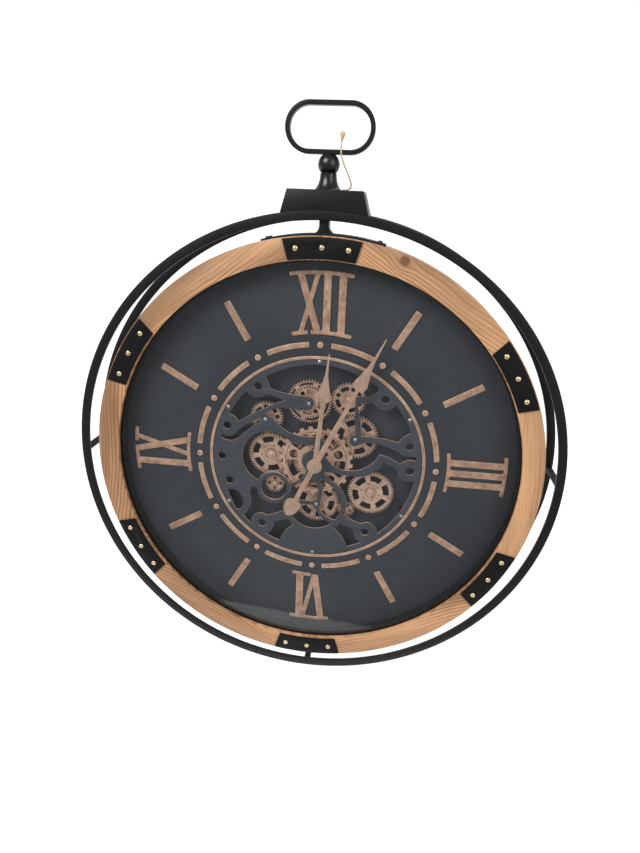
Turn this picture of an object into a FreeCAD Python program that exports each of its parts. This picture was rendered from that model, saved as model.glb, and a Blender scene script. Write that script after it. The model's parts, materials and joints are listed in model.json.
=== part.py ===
"""Skeleton wall clock in the shape of a pocket watch, one STEP file for each separate piece.

Lengths are in millimetres.  While the pieces are made the dial's axis is X = 0, Z = 0, the front face of
the wooden bezel is Y = 0 and +Y points at the wall; angles are read clockwise from 12 o'clock.  Every
piece is then moved so that the origin is the hanging hole, on the wall plane.
"""
import FreeCAD, Part
import math
import os

V = FreeCAD.Vector
DEPTH = V(0, 1, 0)

# ---- driving dimensions ---------------------------------------------------------------------------
WALL_Y = 81.0                # wall plane, behind the bezel's front face

HOOP_R = 350.0               # outer radius of both hoops
HOOP_WIDTH = 12.0            # bar width, measured along the radius
HOOP_THICK = 5.0             # bar thickness, measured along Y
FRONT_HOOP_Y = 6.0
STRUT_R = 5.0

BLOCK_TOP_Z = 374.4          # crown block
BLOCK_TOP_HALF = 48.0
BLOCK_FOOT_Z = 340.0
BLOCK_SLOPE = 8.6 / 30.0     # how far a side leans out for each millimetre down
BLOCK_FRONT_Y = 6.5
SHEET = 2.0
HANG_Z = 362.0               # height of the hanging hole
HANG_R = 6.0
HANGER_THICK = 3.0

CROWN_Y = 44.0               # depth of the finial, the loop and their bolt
FINIAL_TOP = 417.0
BALL_R = 14.0
BALL_Z = 405.4
NECK_R = 10.8
FOOT_R = 17.0
LOOP_R = 31.0                # outer radius of the loop's round ends
LOOP_HALF_STRAIGHT = 26.0
LOOP_THICK = 6.0
LOOP_DEPTH = 12.0
BOLT_R = 4.0

WOOD_R = 320.0               # bezel
WOOD_IN_R = 290.0
WOOD_DEPTH = 38.0
REBATE_R = 299.5
LIP_DEPTH = 6.0
JOINTS = 6                   # bezel segments, joint plates
PLATE_THICK = 2.0
PLATE_OUT_R = 318.6
PLATE_IN_R = 291.4
PLATE_HALF_OUT = 51.5
PLATE_HALF_IN = 43.7
RIVET_PCR = 305.5
RIVET_STEP = 6.4             # degrees between the rivets of one plate
RIVET_HEAD_R = 3.7
RIVET_HEAD_H = 2.4
RIVET_SHANK_R = 1.6

GLASS_THICK = 2.5
RIM_IN_R = 288.0             # black inner rim in front of the dial
DIAL_Y = 27.0                # front of the dial plate and of the skeleton plate
DIAL_THICK = 1.5
DIAL_OPEN_R = 157.2
RELIEF = 1.7                 # height of the numerals, bars, arcs and studs
DRUM_WALL = 2.0
BACK_Y = 73.0
BACK_THICK = 1.5
ACCESS_R = 75.0              # hole in the back that the movement is reached through
ACCESS_Z = 28.0

MARK_IN_R = 190.0            # numerals
MARK_OUT_R = 275.0
SERIF = 5.0
BAR_IN_R = 203.0             # hour bars
BAR_OUT_R = 262.0
BAR_WIDTH = 9.5
ARC_IN_R = 171.5             # short arcs and studs between the hours
ARC_OUT_R = 179.0
ARC_HALF_ANGLE = 9.9
STUD_PCR = 175.0
STUD_R = 4.4
CHAPTER_IN_R = 155.2
CHAPTER_OUT_R = 159.4

SKELETON_R = 156.8
SKELETON_THICK = 2.0
RIM_EDGE_R = 146.6
SCREW_PCR = 151.4
BOSS_HOLE_R = 6.0
BASE_Y = 49.0                # front of the base plate
BASE_THICK = 1.0

MODULE = 1.35                # wheels
ADDENDUM = 1.15              # tooth height outside and depth inside the pitch circle, in modules
DEDENDUM = 1.75
TOOTH_SLACK = 0.3            # taken off each tooth's thickness
MESH_SLACK = 1.0             # added to each centre distance: the ornamental wheels mesh shallowly
WHEEL_Y = 37.5
WHEEL_THICK = 2.0
STUD_PIN_R = 2.5
RUNNING = 0.05               # radial running clearance of a wheel on its stud
TRAIN = {                    # wheel: teeth, wheel it meshes with, clock angle from that wheel
    "centre_wheel": (52, None, 0.0),
    "left_wheel": (49, "centre_wheel", 272.8),
    "left_pinion": (21, "left_wheel", 172.0),
    "upper_left_wheel": (35, "left_wheel", 353.0),
    "east_wheel": (48, "centre_wheel", 54.5),
    "upper_right_wheel": (36, "east_wheel", 347.1),
    "upper_wheel": (47, "upper_right_wheel", 262.9),
    "lower_wheel": (48, "centre_wheel", 177.4),
    "right_pinion": (18, "lower_wheel", 101.5),
    "right_wheel": (50, "right_pinion", 49.0),
}
DRIVE_MODULE = 1.0
DRIVE_TEETH = 70             # hidden wheel on the centre wheel's tube
DRIVE_PINION_TEETH = 14
DRIVE_SLACK = 0.05           # added to the distance of the drive pinion
DRIVE_Y = 43.5
DRIVE_THICK = 2.5

HUB_R = 6.0                  # fixed centre tube that the centre wheel turns on
BUSH_R = 4.0
HOUR_SLEEVE_R = 2.6
SPINDLE_R = 1.5
MINUTE_Y = 10.0
HOUR_Y = 14.0
HAND_THICK = 1.2
MINUTE_ANGLE = 25.2
HOUR_ANGLE = 4.9

STRING_R = 1.0               # jute string
STRING_ROUTE = [
    V(17.5, 56.0, 375.7), V(25.0, 53.5, 375.5), V(30.6, 48.0, 380.5), V(26.8, 44.0, 391.5),
    V(21.8, 40.6, 401.5), V(17.2, 37.4, 411.5), V(14.8, 36.6, 422.5), V(15.8, 36.8, 433.0),
]
KNOT_R = 3.8
KNOT_SHOULDER = 8.0


# ---- small makers ---------------------------------------------------------------------------------
def polar(r, angle):
    """The X and Z of a point at radius r and a clock angle in degrees."""
    return r * math.sin(math.radians(angle)), r * math.cos(math.radians(angle))


def rod(x, z, r, y0, y1):
    return Part.makeCylinder(r, y1 - y0, V(x, y0, z), DEPTH)


def tube(x, z, r_out, r_in, y0, y1):
    return rod(x, z, r_out, y0, y1).cut(rod(x, z, r_in, y0, y1))


def box(x0, x1, y0, y1, z0, z1):
    return Part.makeBox(x1 - x0, y1 - y0, z1 - z0, V(x0, y0, z0))


def outline(start, *steps):
    """A closed face at Y = 0.  A step is a point, for a line, or a middle point and an end, for an arc."""
    edges = []
    here = V(start[0], 0, start[1])
    for step in steps:
        if isinstance(step[0], tuple):
            middle = V(step[0][0], 0, step[0][1])
            there = V(step[1][0], 0, step[1][1])
            edges.append(Part.Arc(here, middle, there).toShape())
        else:
            there = V(step[0], 0, step[1])
            edges.append(Part.LineSegment(here, there).toShape())
        here = there
    first = V(start[0], 0, start[1])
    if here.distanceToPoint(first) > 1e-6:
        edges.append(Part.LineSegment(here, first).toShape())
    return Part.Face(Part.Wire(edges))


def slab(face, y0, y1):
    solid = face.extrude(V(0, y1 - y0, 0))
    solid.translate(V(0, y0, 0))
    return solid


def polygon(points, y0, y1):
    return slab(outline(points[0], *points[1:]), y0, y1)


def turned(x, z, profile):
    """A solid turned about the Y axis through (x, z) from (radius, y) points."""
    rim = [V(x + r, y, z) for r, y in profile]
    points = [V(x, profile[0][1], z)] + rim + [V(x, profile[-1][1], z)]
    wire = Part.makePolygon(points + [points[0]])
    return Part.Face(wire).revolve(V(x, 0, z), DEPTH, 360)


def sector(x, z, r_in, r_out, a0, a1, y0, y1):
    """A piece of a flat ring between two clock angles."""
    def at(r, angle):
        dx, dz = polar(r, angle)
        return x + dx, z + dz
    middle = (a0 + a1) / 2.0
    face = outline(at(r_in, a0), at(r_out, a0), (at(r_out, middle), at(r_out, a1)), at(r_in, a1),
                   (at(r_in, middle), at(r_in, a0)))
    return slab(face, y0, y1)


def radial_turn(shape, angle):
    """Turns a shape that was made at 12 o'clock to a clock angle."""
    copy = shape.copy()
    copy.rotate(V(0, 0, 0), DEPTH, angle)
    return copy


def join(shapes):
    first = shapes[0]
    return first.fuse(shapes[1:]).removeSplitter() if len(shapes) > 1 else first


def group(shapes):
    """Like pieces that stay separate solids in one node."""
    return Part.makeCompound(shapes)


def round_corners(shape, radius, axis=DEPTH):
    """Rounds the edges that run along an axis."""
    edges = []
    for edge in shape.Edges:
        if edge.Curve.TypeId != "Part::GeomLine":
            continue
        if abs(abs(edge.Curve.Direction.dot(axis)) - 1.0) < 1e-6:
            edges.append(edge)
    return shape.makeFillet(radius, edges)


# ---- outer frame ----------------------------------------------------------------------------------
HOOP_IN_R = HOOP_R - HOOP_WIDTH
HOOP_MID_R = HOOP_R - HOOP_WIDTH / 2.0
REAR_HOOP_Y = WALL_Y - HOOP_THICK


def make_hoop(y0):
    hoop = tube(0, 0, HOOP_R, HOOP_IN_R, y0, y0 + HOOP_THICK)
    return hoop.makeFillet(0.8, [e for e in hoop.Edges if e.Length > 1000])


def make_struts():
    struts = []
    for angle in (90, 180, 270):
        x, z = polar(HOOP_MID_R, angle)
        struts.append(rod(x, z, STRUT_R, FRONT_HOOP_Y + HOOP_THICK, REAR_HOOP_Y))
    return group(struts)


def block_body(inset):
    """The crown block's outside, or its inside when inset is the sheet's thickness."""
    top = BLOCK_TOP_Z - inset
    lean = BLOCK_SLOPE * (BLOCK_TOP_Z - BLOCK_FOOT_Z)
    foot_half = BLOCK_TOP_HALF + lean - inset
    top_half = foot_half - BLOCK_SLOPE * (top - BLOCK_FOOT_Z)
    y0 = BLOCK_FRONT_Y + inset
    y1 = WALL_Y - inset
    corners = [(-foot_half, BLOCK_FOOT_Z), (-top_half, top), (top_half, top), (foot_half, BLOCK_FOOT_Z)]
    body = polygon(corners, y0, y1)
    return body.cut(rod(0, 0, HOOP_R + inset, y0 - 1, y1 + 1))


def make_crown_block():
    shell = block_body(0.0).cut(block_body(SHEET))
    shell = shell.cut(Part.makeCylinder(BOLT_R, 10, V(0, CROWN_Y, BLOCK_TOP_Z - 5)))
    return shell.cut(rod(0, HANG_Z, HANG_R, WALL_Y - 10, WALL_Y + 1))


def make_hanger():
    y1 = WALL_Y - SHEET
    plate = box(-24, 24, y1 - HANGER_THICK, y1, HANG_Z - 8.5, HANG_Z + 9.5)
    return plate.cut(rod(0, HANG_Z, HANG_R, y1 - 10, y1 + 1))


def make_finial():
    """Flared foot, groove and ball, turned about the vertical axis."""
    z0 = BLOCK_TOP_Z
    neck_z = z0 + 20.0
    ball_top_r = math.sqrt(BALL_R ** 2 - (FINIAL_TOP - BALL_Z) ** 2)
    ball_foot_z = neck_z + 1.2
    ball_foot_r = math.sqrt(BALL_R ** 2 - (ball_foot_z - BALL_Z) ** 2)
    edges = [
        Part.LineSegment(V(BOLT_R, 0, z0), V(FOOT_R, 0, z0)),
        Part.LineSegment(V(FOOT_R, 0, z0), V(FOOT_R - 0.6, 0, z0 + 2.0)),
        Part.Arc(V(FOOT_R - 0.6, 0, z0 + 2.0), V(12.6, 0, z0 + 8.0), V(NECK_R, 0, neck_z)),
        Part.LineSegment(V(NECK_R, 0, neck_z), V(ball_foot_r, 0, ball_foot_z)),
        Part.Arc(V(ball_foot_r, 0, ball_foot_z), V(BALL_R, 0, BALL_Z), V(ball_top_r, 0, FINIAL_TOP)),
        Part.LineSegment(V(ball_top_r, 0, FINIAL_TOP), V(BOLT_R, 0, FINIAL_TOP)),
        Part.LineSegment(V(BOLT_R, 0, FINIAL_TOP), V(BOLT_R, 0, z0)),
    ]
    finial = Part.Face(Part.Wire([e.toShape() for e in edges])).revolve(V(0, 0, 0), V(0, 0, 1), 360)
    finial.translate(V(0, CROWN_Y, 0))
    return finial


def stadium(r, z_mid, half):
    return outline((-half, z_mid - r), ((-half - r, z_mid), (-half, z_mid + r)), (half, z_mid + r),
                   ((half + r, z_mid), (half, z_mid - r)))


def make_loop():
    z_mid = FINIAL_TOP + LOOP_R
    y0 = CROWN_Y - LOOP_DEPTH / 2.0
    outer = slab(stadium(LOOP_R, z_mid, LOOP_HALF_STRAIGHT), y0, y0 + LOOP_DEPTH)
    inner = slab(stadium(LOOP_R - LOOP_THICK, z_mid, LOOP_HALF_STRAIGHT), y0, y0 + LOOP_DEPTH)
    loop = outer.cut(inner)
    loop = loop.makeFillet(1.2, loop.Edges)
    return loop.cut(Part.makeCylinder(BOLT_R, LOOP_THICK - 1.0, V(0, CROWN_Y, FINIAL_TOP)))


def make_crown_bolt():
    """Hexagon head under the block's top sheet, shank through the finial into the loop."""
    across = 6.5
    z_head = BLOCK_TOP_Z - SHEET
    corners = [V(across * math.cos(math.radians(60 * k)), CROWN_Y + across * math.sin(math.radians(60 * k)),
                 z_head - 5.0) for k in range(7)]
    head = Part.Face(Part.makePolygon(corners)).extrude(V(0, 0, 5.0))
    shank = Part.makeCylinder(BOLT_R, FINIAL_TOP + LOOP_THICK - 1.0 - z_head, V(0, CROWN_Y, z_head))
    return join([head, shank])


SADDLE_THICK = 2.5
SADDLE_Y0 = 6.0
SADDLE_Y1 = 36.0
SADDLE_HALF_ANGLE = 14.5
POST_Y0 = 12.0
POST_Y1 = 34.0


def make_post():
    """Post with a flared foot, from the saddle up to the crown block's curved floor."""
    half = 6.0
    flare = 11.5
    z_foot = WOOD_R + SADDLE_THICK - 0.3
    top = HOOP_R + 1
    face = outline((-flare, z_foot), ((-half - 1.4, z_foot + 4.2), (-half, z_foot + 9.0)), (-half, top),
                   (half, top), (half, z_foot + 9.0), ((half + 1.4, z_foot + 4.2), (flare, z_foot)))
    post = slab(face, POST_Y0, POST_Y1)
    post = post.common(rod(0, 0, HOOP_R, POST_Y0, POST_Y1))
    return post.cut(rod(0, 0, WOOD_R + SADDLE_THICK, POST_Y0, POST_Y1))


def make_saddle():
    saddle = sector(0, 0, WOOD_R, WOOD_R + SADDLE_THICK, -SADDLE_HALF_ANGLE, SADDLE_HALF_ANGLE, SADDLE_Y0,
                    SADDLE_Y1)
    for screw in saddle_screw_rods():
        saddle = saddle.cut(screw)
    return saddle


def saddle_screw_rods():
    """The four shanks, pointing at the dial's centre."""
    rods = []
    for angle in (-13.0, 13.0):
        for y in (13.0, 29.0):
            x, z = polar(WOOD_R - 14.0, angle)
            out = V(math.sin(math.radians(angle)), 0, math.cos(math.radians(angle)))
            rods.append(Part.makeCylinder(1.6, 14.0 + SADDLE_THICK, V(x, y, z), out))
    return rods


def make_saddle_screws():
    screws = []
    for shank in saddle_screw_rods():
        foot = shank.CenterOfMass
        out = V(foot.x, 0, foot.z).normalize()
        seat = V(0, foot.y, 0) + out * (WOOD_R + SADDLE_THICK)
        screws.append(join([shank, Part.makeCone(3.6, 2.2, 1.8, seat, out)]))
    return group(screws)


# ---- case -----------------------------------------------------------------------------------------
def rivet_places():
    places = []
    for k in range(JOINTS):
        for step in (-1, 0, 1):
            places.append(polar(RIVET_PCR, 360.0 / JOINTS * k + RIVET_STEP * step))
    return places


def make_wood_segment(k):
    a0 = 360.0 / JOINTS * k
    a1 = a0 + 360.0 / JOINTS
    lip = sector(0, 0, WOOD_IN_R, WOOD_R, a0, a1, 0, LIP_DEPTH)
    body = sector(0, 0, REBATE_R, WOOD_R, a0, a1, LIP_DEPTH, WOOD_DEPTH)
    segment = join([lip, body])
    for x, z in rivet_places():
        segment = segment.cut(rod(x, z, RIVET_SHANK_R, -1, 8))
    for screw in saddle_screw_rods():
        segment = segment.cut(screw)
    return segment


def make_joint_plates():
    plates = []
    corner_out_z = math.sqrt(PLATE_OUT_R ** 2 - PLATE_HALF_OUT ** 2)
    corner_in_z = math.sqrt(PLATE_IN_R ** 2 - PLATE_HALF_IN ** 2)
    face = outline((-PLATE_HALF_IN, corner_in_z), (-PLATE_HALF_OUT, corner_out_z),
                   ((0, PLATE_OUT_R), (PLATE_HALF_OUT, corner_out_z)), (PLATE_HALF_IN, corner_in_z),
                   ((0, PLATE_IN_R), (-PLATE_HALF_IN, corner_in_z)))
    plate = round_corners(slab(face, -PLATE_THICK, 0), 0.8)
    for step in (-1, 0, 1):
        x, z = polar(RIVET_PCR, RIVET_STEP * step)
        plate = plate.cut(rod(x, z, RIVET_SHANK_R, -PLATE_THICK - 1, 1))
    for k in range(JOINTS):
        plates.append(radial_turn(plate, 360.0 / JOINTS * k))
    return group(plates)


def make_rivets():
    rivets = []
    dome_r = (RIVET_HEAD_R ** 2 + RIVET_HEAD_H ** 2) / (2.0 * RIVET_HEAD_H)
    for x, z in rivet_places():
        ball = Part.makeSphere(dome_r, V(x, -PLATE_THICK - RIVET_HEAD_H + dome_r, z))
        head = ball.common(box(x - 9, x + 9, -20, -PLATE_THICK, z - 9, z + 9))
        rivets.append(join([head, rod(x, z, RIVET_SHANK_R, -PLATE_THICK, 8)]))
    return group(rivets)


def make_glass():
    return rod(0, 0, REBATE_R, LIP_DEPTH, LIP_DEPTH + GLASS_THICK)


def make_glass_rim():
    return tube(0, 0, REBATE_R, RIM_IN_R, LIP_DEPTH + GLASS_THICK, DIAL_Y)


BACK_SCREW_PCR = 290.0
BACK_SCREWS = 6


def make_drum():
    """Steel band with a lug inside for each back screw."""
    band = [tube(0, 0, REBATE_R, REBATE_R - DRUM_WALL, DIAL_Y, BACK_Y)]
    inner_r = REBATE_R - DRUM_WALL
    for k in range(BACK_SCREWS):
        lug = box(-7, 7, BACK_Y - 12, BACK_Y, BACK_SCREW_PCR - 6, inner_r + 1)
        lug = lug.common(rod(0, 0, inner_r + 0.5, BACK_Y - 12, BACK_Y))
        band.append(radial_turn(lug, 30 + 60 * k))
    drum = join(band)
    for k in range(BACK_SCREWS):
        x, z = polar(BACK_SCREW_PCR, 30 + 60 * k)
        drum = drum.cut(rod(x, z, 1.6, BACK_Y - 9, BACK_Y + 1))
    return drum


def make_case_back():
    back = rod(0, 0, REBATE_R, BACK_Y, BACK_Y + BACK_THICK)
    back = back.cut(rod(0, ACCESS_Z, ACCESS_R, BACK_Y - 1, BACK_Y + 5))
    for k in range(BACK_SCREWS):
        x, z = polar(BACK_SCREW_PCR, 30 + 60 * k)
        back = back.cut(rod(x, z, 1.6, BACK_Y - 1, BACK_Y + 5))
    return back


def make_back_screws():
    screws = []
    y_head = BACK_Y + BACK_THICK
    for k in range(BACK_SCREWS):
        x, z = polar(BACK_SCREW_PCR, 30 + 60 * k)
        head = rod(x, z, 3.4, y_head, y_head + 2.2).cut(box(x - 3.4, x + 3.4, y_head + 1.2, y_head + 3,
                                                            z - 0.5, z + 0.5))
        screws.append(join([head, rod(x, z, 1.6, BACK_Y - 9, y_head)]))
    return group(screws)


# ---- dial -----------------------------------------------------------------------------------------
MARK_Y = DIAL_Y - RELIEF
POST_ANGLES = [15 + 60 * k for k in range(6)]
DIAL_POST_R = 240.0


def make_dial_plate():
    return tube(0, 0, REBATE_R - DRUM_WALL, DIAL_OPEN_R, DIAL_Y, DIAL_Y + DIAL_THICK)


def stroke(u0, r0, u1, r1, w):
    """A straight stroke of width w, measured across, from (u0, r0) to (u1, r1) at 12 o'clock."""
    return polygon([(u0 - w / 2, r0), (u1 - w / 2, r1), (u1 + w / 2, r1), (u0 + w / 2, r0)], MARK_Y, DIAL_Y)


def serif(u0, u1, r_in, r_out):
    """A curved foot across one or more strokes, along the dial's circle."""
    r_mid = (r_in + r_out) / 2.0
    a0 = math.degrees(math.asin(u0 / r_mid))
    a1 = math.degrees(math.asin(u1 / r_mid))
    return round_corners(sector(0, 0, r_in, r_out, a0, a1, MARK_Y, DIAL_Y), 0.9)


def make_numeral(strokes, serifs, angle):
    foot = MARK_IN_R + 2.0
    head = MARK_OUT_R - 2.0
    bars = [stroke(u0, foot, u1, head, w) for u0, u1, w in strokes]
    feet = []
    for end, u0, u1 in serifs:
        r_in = MARK_OUT_R - SERIF if end == "head" else MARK_IN_R
        feet.append(serif(u0, u1, r_in, r_in + SERIF))
    return radial_turn(join(bars + feet), angle)


# strokes: offset at the foot, offset at the head, width; serifs: end, first and last offset
NUMERALS = {
    "numeral_xii": ([(-4.5, -30.5, 9.5), (-27.5, -5.5, 6.5), (7.0, 7.0, 10.0), (27.5, 27.5, 10.0)],
                    [("head", -45, 42), ("foot", -40, -18), ("foot", -14, 42)], 0),
    "numeral_iii": ([(-16.0, -16.0, 9.5), (0.0, 0.0, 9.5), (16.0, 16.0, 9.5)],
                    [("head", -30, 30), ("foot", -30, 30)], 90),
    "numeral_vi": ([(-5.5, -17.5, 10.0), (-4.5, 12.5, 6.5), (18.0, 18.0, 11.0)],
                   [("head", -30, 33), ("foot", 1, 30)], 180),
    "numeral_ix": ([(-19.0, -19.0, 9.5), (19.0, 0.0, 9.0), (-4.0, 21.5, 6.5)],
                   [("head", -33, 4), ("head", 12, 34), ("foot", -31, 31)], 270),
}


def make_hour_bars():
    bar = stroke(0, BAR_IN_R, 0, BAR_OUT_R, BAR_WIDTH)
    bar = round_corners(bar, 1.0)
    return group([radial_turn(bar, 30 * hour) for hour in range(12) if hour % 3])


def make_minute_arcs():
    arc = sector(0, 0, ARC_IN_R, ARC_OUT_R, 15 - ARC_HALF_ANGLE, 15 + ARC_HALF_ANGLE, MARK_Y, DIAL_Y)
    arc = round_corners(arc, 1.0)
    return group([radial_turn(arc, 30 * k) for k in range(12)])


def make_minute_studs():
    studs = []
    for k in range(12):
        x, z = polar(STUD_PCR, 30 * k)
        studs.append(turned(x, z, [(STUD_R, DIAL_Y), (STUD_R, MARK_Y + 0.8), (STUD_R - 1.0, MARK_Y)]))
    return group(studs)


def make_chapter_ring():
    return tube(0, 0, CHAPTER_OUT_R, CHAPTER_IN_R, MARK_Y, DIAL_Y)


# ---- skeleton plate -------------------------------------------------------------------------------
BOSSES = [(-87, 110), (-133, 47), (-142, -2), (-130.5, -41), (-80, -109), (79, -108.5), (138, -3),
          (134, 35), (95, 103)]
COLLAR_AT = (-62, -47)
LOWER_RING_AT = (-0.5, -69)

WINDOWS = {
    "main": outline(
        (-77, 124), ((0, RIM_EDGE_R), (86, 118)), (83, 112.5), ((79, 109), (60, 105.5)), (53, 104),
        ((53.5, 76), (56, 47)), ((47.5, 38), (56, 29)), ((68, 35), (82, 36)), ((107, 31), (127, 20)),
        (145, 19.5), (146, 13.5), ((134, 14.2), (123, 7)), ((108, 15), (92, 19.5)), ((75, -2), (50, -9.5)),
        ((28, -5), (12, 15)), ((11, 17), (8.5, 18.5)), ((11, 32), (0, 40)), ((-20, 38.5), (-40, 42.5)),
        ((-54, 52), (-65, 64.5)), (-70, 65), (-76, 71), ((-62, 77.5), (-48, 80)), (-17, 79),
        ((-6, 89), (-17, 99.5)), ((-45, 101.5), (-70, 108)), ((-72.5, 116), (-77, 124))),
    "right": outline(
        (56.5, 92), ((68, 96), (79.5, 96.8)), ((95, 86.8), (109.5, 97.2)),
        ((124.5, 77.3), (135.5, 56)), ((125.5, 50), (118, 40.3)), ((92, 44.6), (64.5, 45.4)),
        ((62, 64), (56.5, 92))),
    "left": outline(
        (-36, 26), ((-20, 25.5), (-5, 26)), ((-2.5, 23), (-3, 19.3)), ((-19.5, 0), (-13, -14.5)),
        ((-20, -27), (-39, -38)), ((-56, -22), (-86.5, -37)), ((-110.5, 3), (-36, 26))),
    "left_pinion": outline((-82, -47), ((-62, -27), (-42, -47)), ((-62, -67), (-82, -47))),
    "upper_left": outline(
        (-104, 101), ((-117.5, 85.5), (-130, 65)), ((-121, 61), (-116, 54)), ((-98, 66), (-80, 76)),
        (-62, 86), (-48, 91), (-60, 95.5), (-75, 98), ((-89, 93.2), (-104, 101))),
    "slot": outline(
        (-143, 33.5), ((-131, 30.5), (-119, 38)), ((-107, 48), (-93, 57.5)), (-84, 63), (-81.5, 58),
        ((-99, 44.5), (-114, 31.5)), ((-128, 23.5), (-143, 28.5))),
    "lower_left_eye": outline(
        (-134, -58), ((-123, -55.5), (-112, -65)), ((-108.5, -77), (-116, -89.5)), (-121, -88),
        ((-128, -73), (-134, -58))),
    "lower_left": outline(
        (-100, -60), ((-98.5, -80), (-109, -98.5)), ((-104, -104.5), (-98, -111)), ((-93, -97), (-80, -92)),
        (-71, -95), ((-58, -90), (-46, -84)), ((-48, -76), (-47.5, -69)), ((-62, -73.5), (-85, -60)),
        (-88, -50), (-97, -48)),
    "lower_right": outline(
        (121, -3), ((125.5, -15), (136, -19.5)), (144.5, -18.5), (145.5, -20),
        ((131, -66), (98, -109.5)), ((93, -98), (80, -92)), (71, -95), ((60, -91), (46, -82)),
        ((44.5, -49), (17, -25)), (13, -14.5), ((40, -17), (58, -18)), ((82, -12), (97, 8)),
        ((110, 4), (121, -3))),
    "bottom_left": outline(
        (-75, -127), ((-64, -118), (-63, -106)), (-40, -97.5), ((-36, -103), (-31, -107)),
        ((-44, -120), (-52, -137)), ((-64, -132), (-75, -127))),
    "bottom_right": outline(
        (75, -127), ((64, -118), (62, -106)), (40, -97.5), ((36, -103), (31, -107)),
        ((44, -120), (52, -137)), ((64, -132), (75, -127))),
}


def band(points, width):
    """A bent arm between three points, of constant width and with round ends."""
    (x0, z0), (x1, z1), (x2, z2) = points
    circle = Part.Arc(V(x0, 0, z0), V(x1, 0, z1), V(x2, 0, z2)).toShape().Curve
    centre = circle.Center
    radius = circle.Radius

    def moved(point, gain):
        ray = V(point[0], 0, point[1]) - centre
        ray.normalize()
        there = centre + ray * (radius + gain)
        return there.x, there.z
    half = width / 2.0
    face = outline(moved(points[0], half), (moved(points[1], half), moved(points[2], half)),
                   moved(points[2], -half), (moved(points[1], -half), moved(points[0], -half)))
    return slab(face, DIAL_Y, DIAL_Y + SKELETON_THICK)


def make_skeleton_plate(arbors):
    y0 = DIAL_Y
    y1 = DIAL_Y + SKELETON_THICK
    plate = rod(0, 0, SKELETON_R, y0, y1)
    for face in WINDOWS.values():
        plate = plate.cut(slab(face, y0, y1))
    ring_x, ring_z = LOWER_RING_AT
    plate = plate.cut(rod(ring_x, ring_z, 41, y0, y1))
    pivot = arbors["lower_wheel"]
    arms = [band([pivot, (8.5, -48), (2, -27)], 6), band([pivot, (-20, -67.5), (-43, -71)], 6),
            band([pivot, (10, -84), (34, -96)], 6), rod(pivot[0], pivot[1], 6.5, y0, y1)]
    collar_x, collar_z = COLLAR_AT
    lip = tube(collar_x, collar_z, 25.5, 20, y0 - 1.2, y1)
    plate = join([plate, lip] + arms)
    for x, z in BOSSES:
        plate = plate.cut(rod(x, z, BOSS_HOLE_R, y0, y1))
    plate = plate.cut(rod(0, 0, BUSH_R, y0, y1))
    for x, z in plate_screw_places(arbors):
        plate = plate.cut(rod(x, z, 1.25, y0, y1))
    return plate


THROUGH_ARBORS = ["upper_left_wheel", "upper_wheel", "east_wheel", "lower_wheel"]


def plate_screw_places(arbors):
    places = [polar(SCREW_PCR, 60 * k) for k in range(6)]
    return places + [arbors[name] for name in THROUGH_ARBORS]


def make_plate_screws(arbors):
    screws = []
    for x, z in plate_screw_places(arbors):
        head = [(2.5, DIAL_Y), (2.5, DIAL_Y - 0.5), (1.4, DIAL_Y - 1.2)]
        screws.append(join([turned(x, z, head), rod(x, z, 1.25, DIAL_Y, DIAL_Y + 8)]))
    return group(screws)


def make_pillars():
    """Stand-offs from the base plate to the skeleton plate and to the dial plate."""
    pillars = []
    for k in range(6):
        x, z = polar(SCREW_PCR, 60 * k)
        pillar = rod(x, z, 3.5, DIAL_Y + SKELETON_THICK, BASE_Y)
        pillars.append(pillar.cut(rod(x, z, 1.25, DIAL_Y, DIAL_Y + 8)))
    for angle in POST_ANGLES:
        x, z = polar(DIAL_POST_R, angle)
        pillars.append(rod(x, z, 5, DIAL_Y + DIAL_THICK, BASE_Y))
    return group(pillars)


def make_base_plate():
    plate = rod(0, 0, REBATE_R - DRUM_WALL, BASE_Y, BASE_Y + BASE_THICK)
    plate = plate.cut(rod(0, 0, BUSH_R, BASE_Y, BASE_Y + BASE_THICK))
    x, z = drive_pinion_place()
    return plate.cut(rod(x, z, 2.5, BASE_Y, BASE_Y + BASE_THICK))


# ---- wheels ---------------------------------------------------------------------------------------
PRESSURE = math.radians(20)


def involute(angle):
    return math.tan(angle) - angle


def toothed_disc(teeth, module, x, z, phase, y0, y1):
    """An involute gear blank; phase is the clock angle of one tooth's middle."""
    pitch_r = teeth * module / 2.0
    base_r = pitch_r * math.cos(PRESSURE)
    tip_r = pitch_r + ADDENDUM * module
    root_r = pitch_r - DEDENDUM * module
    half_at_pitch = (math.pi * module / 2.0 - TOOTH_SLACK) / (2.0 * pitch_r)

    def half_angle(r):
        pressure = math.acos(min(1.0, base_r / max(r, base_r)))
        return math.degrees(half_at_pitch + involute(PRESSURE) - involute(pressure))
    corners = []
    for k in range(teeth):
        middle = phase + 360.0 / teeth * k
        for side, radii in ((-1, (root_r, pitch_r, tip_r)), (1, (tip_r, pitch_r, root_r))):
            for r in radii:
                dx, dz = polar(r, middle + side * half_angle(r))
                corners.append((x + dx, z + dz))
    return polygon(corners, y0, y1)


def pitch_radius(name):
    return TRAIN[name][0] * MODULE / 2.0


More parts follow.
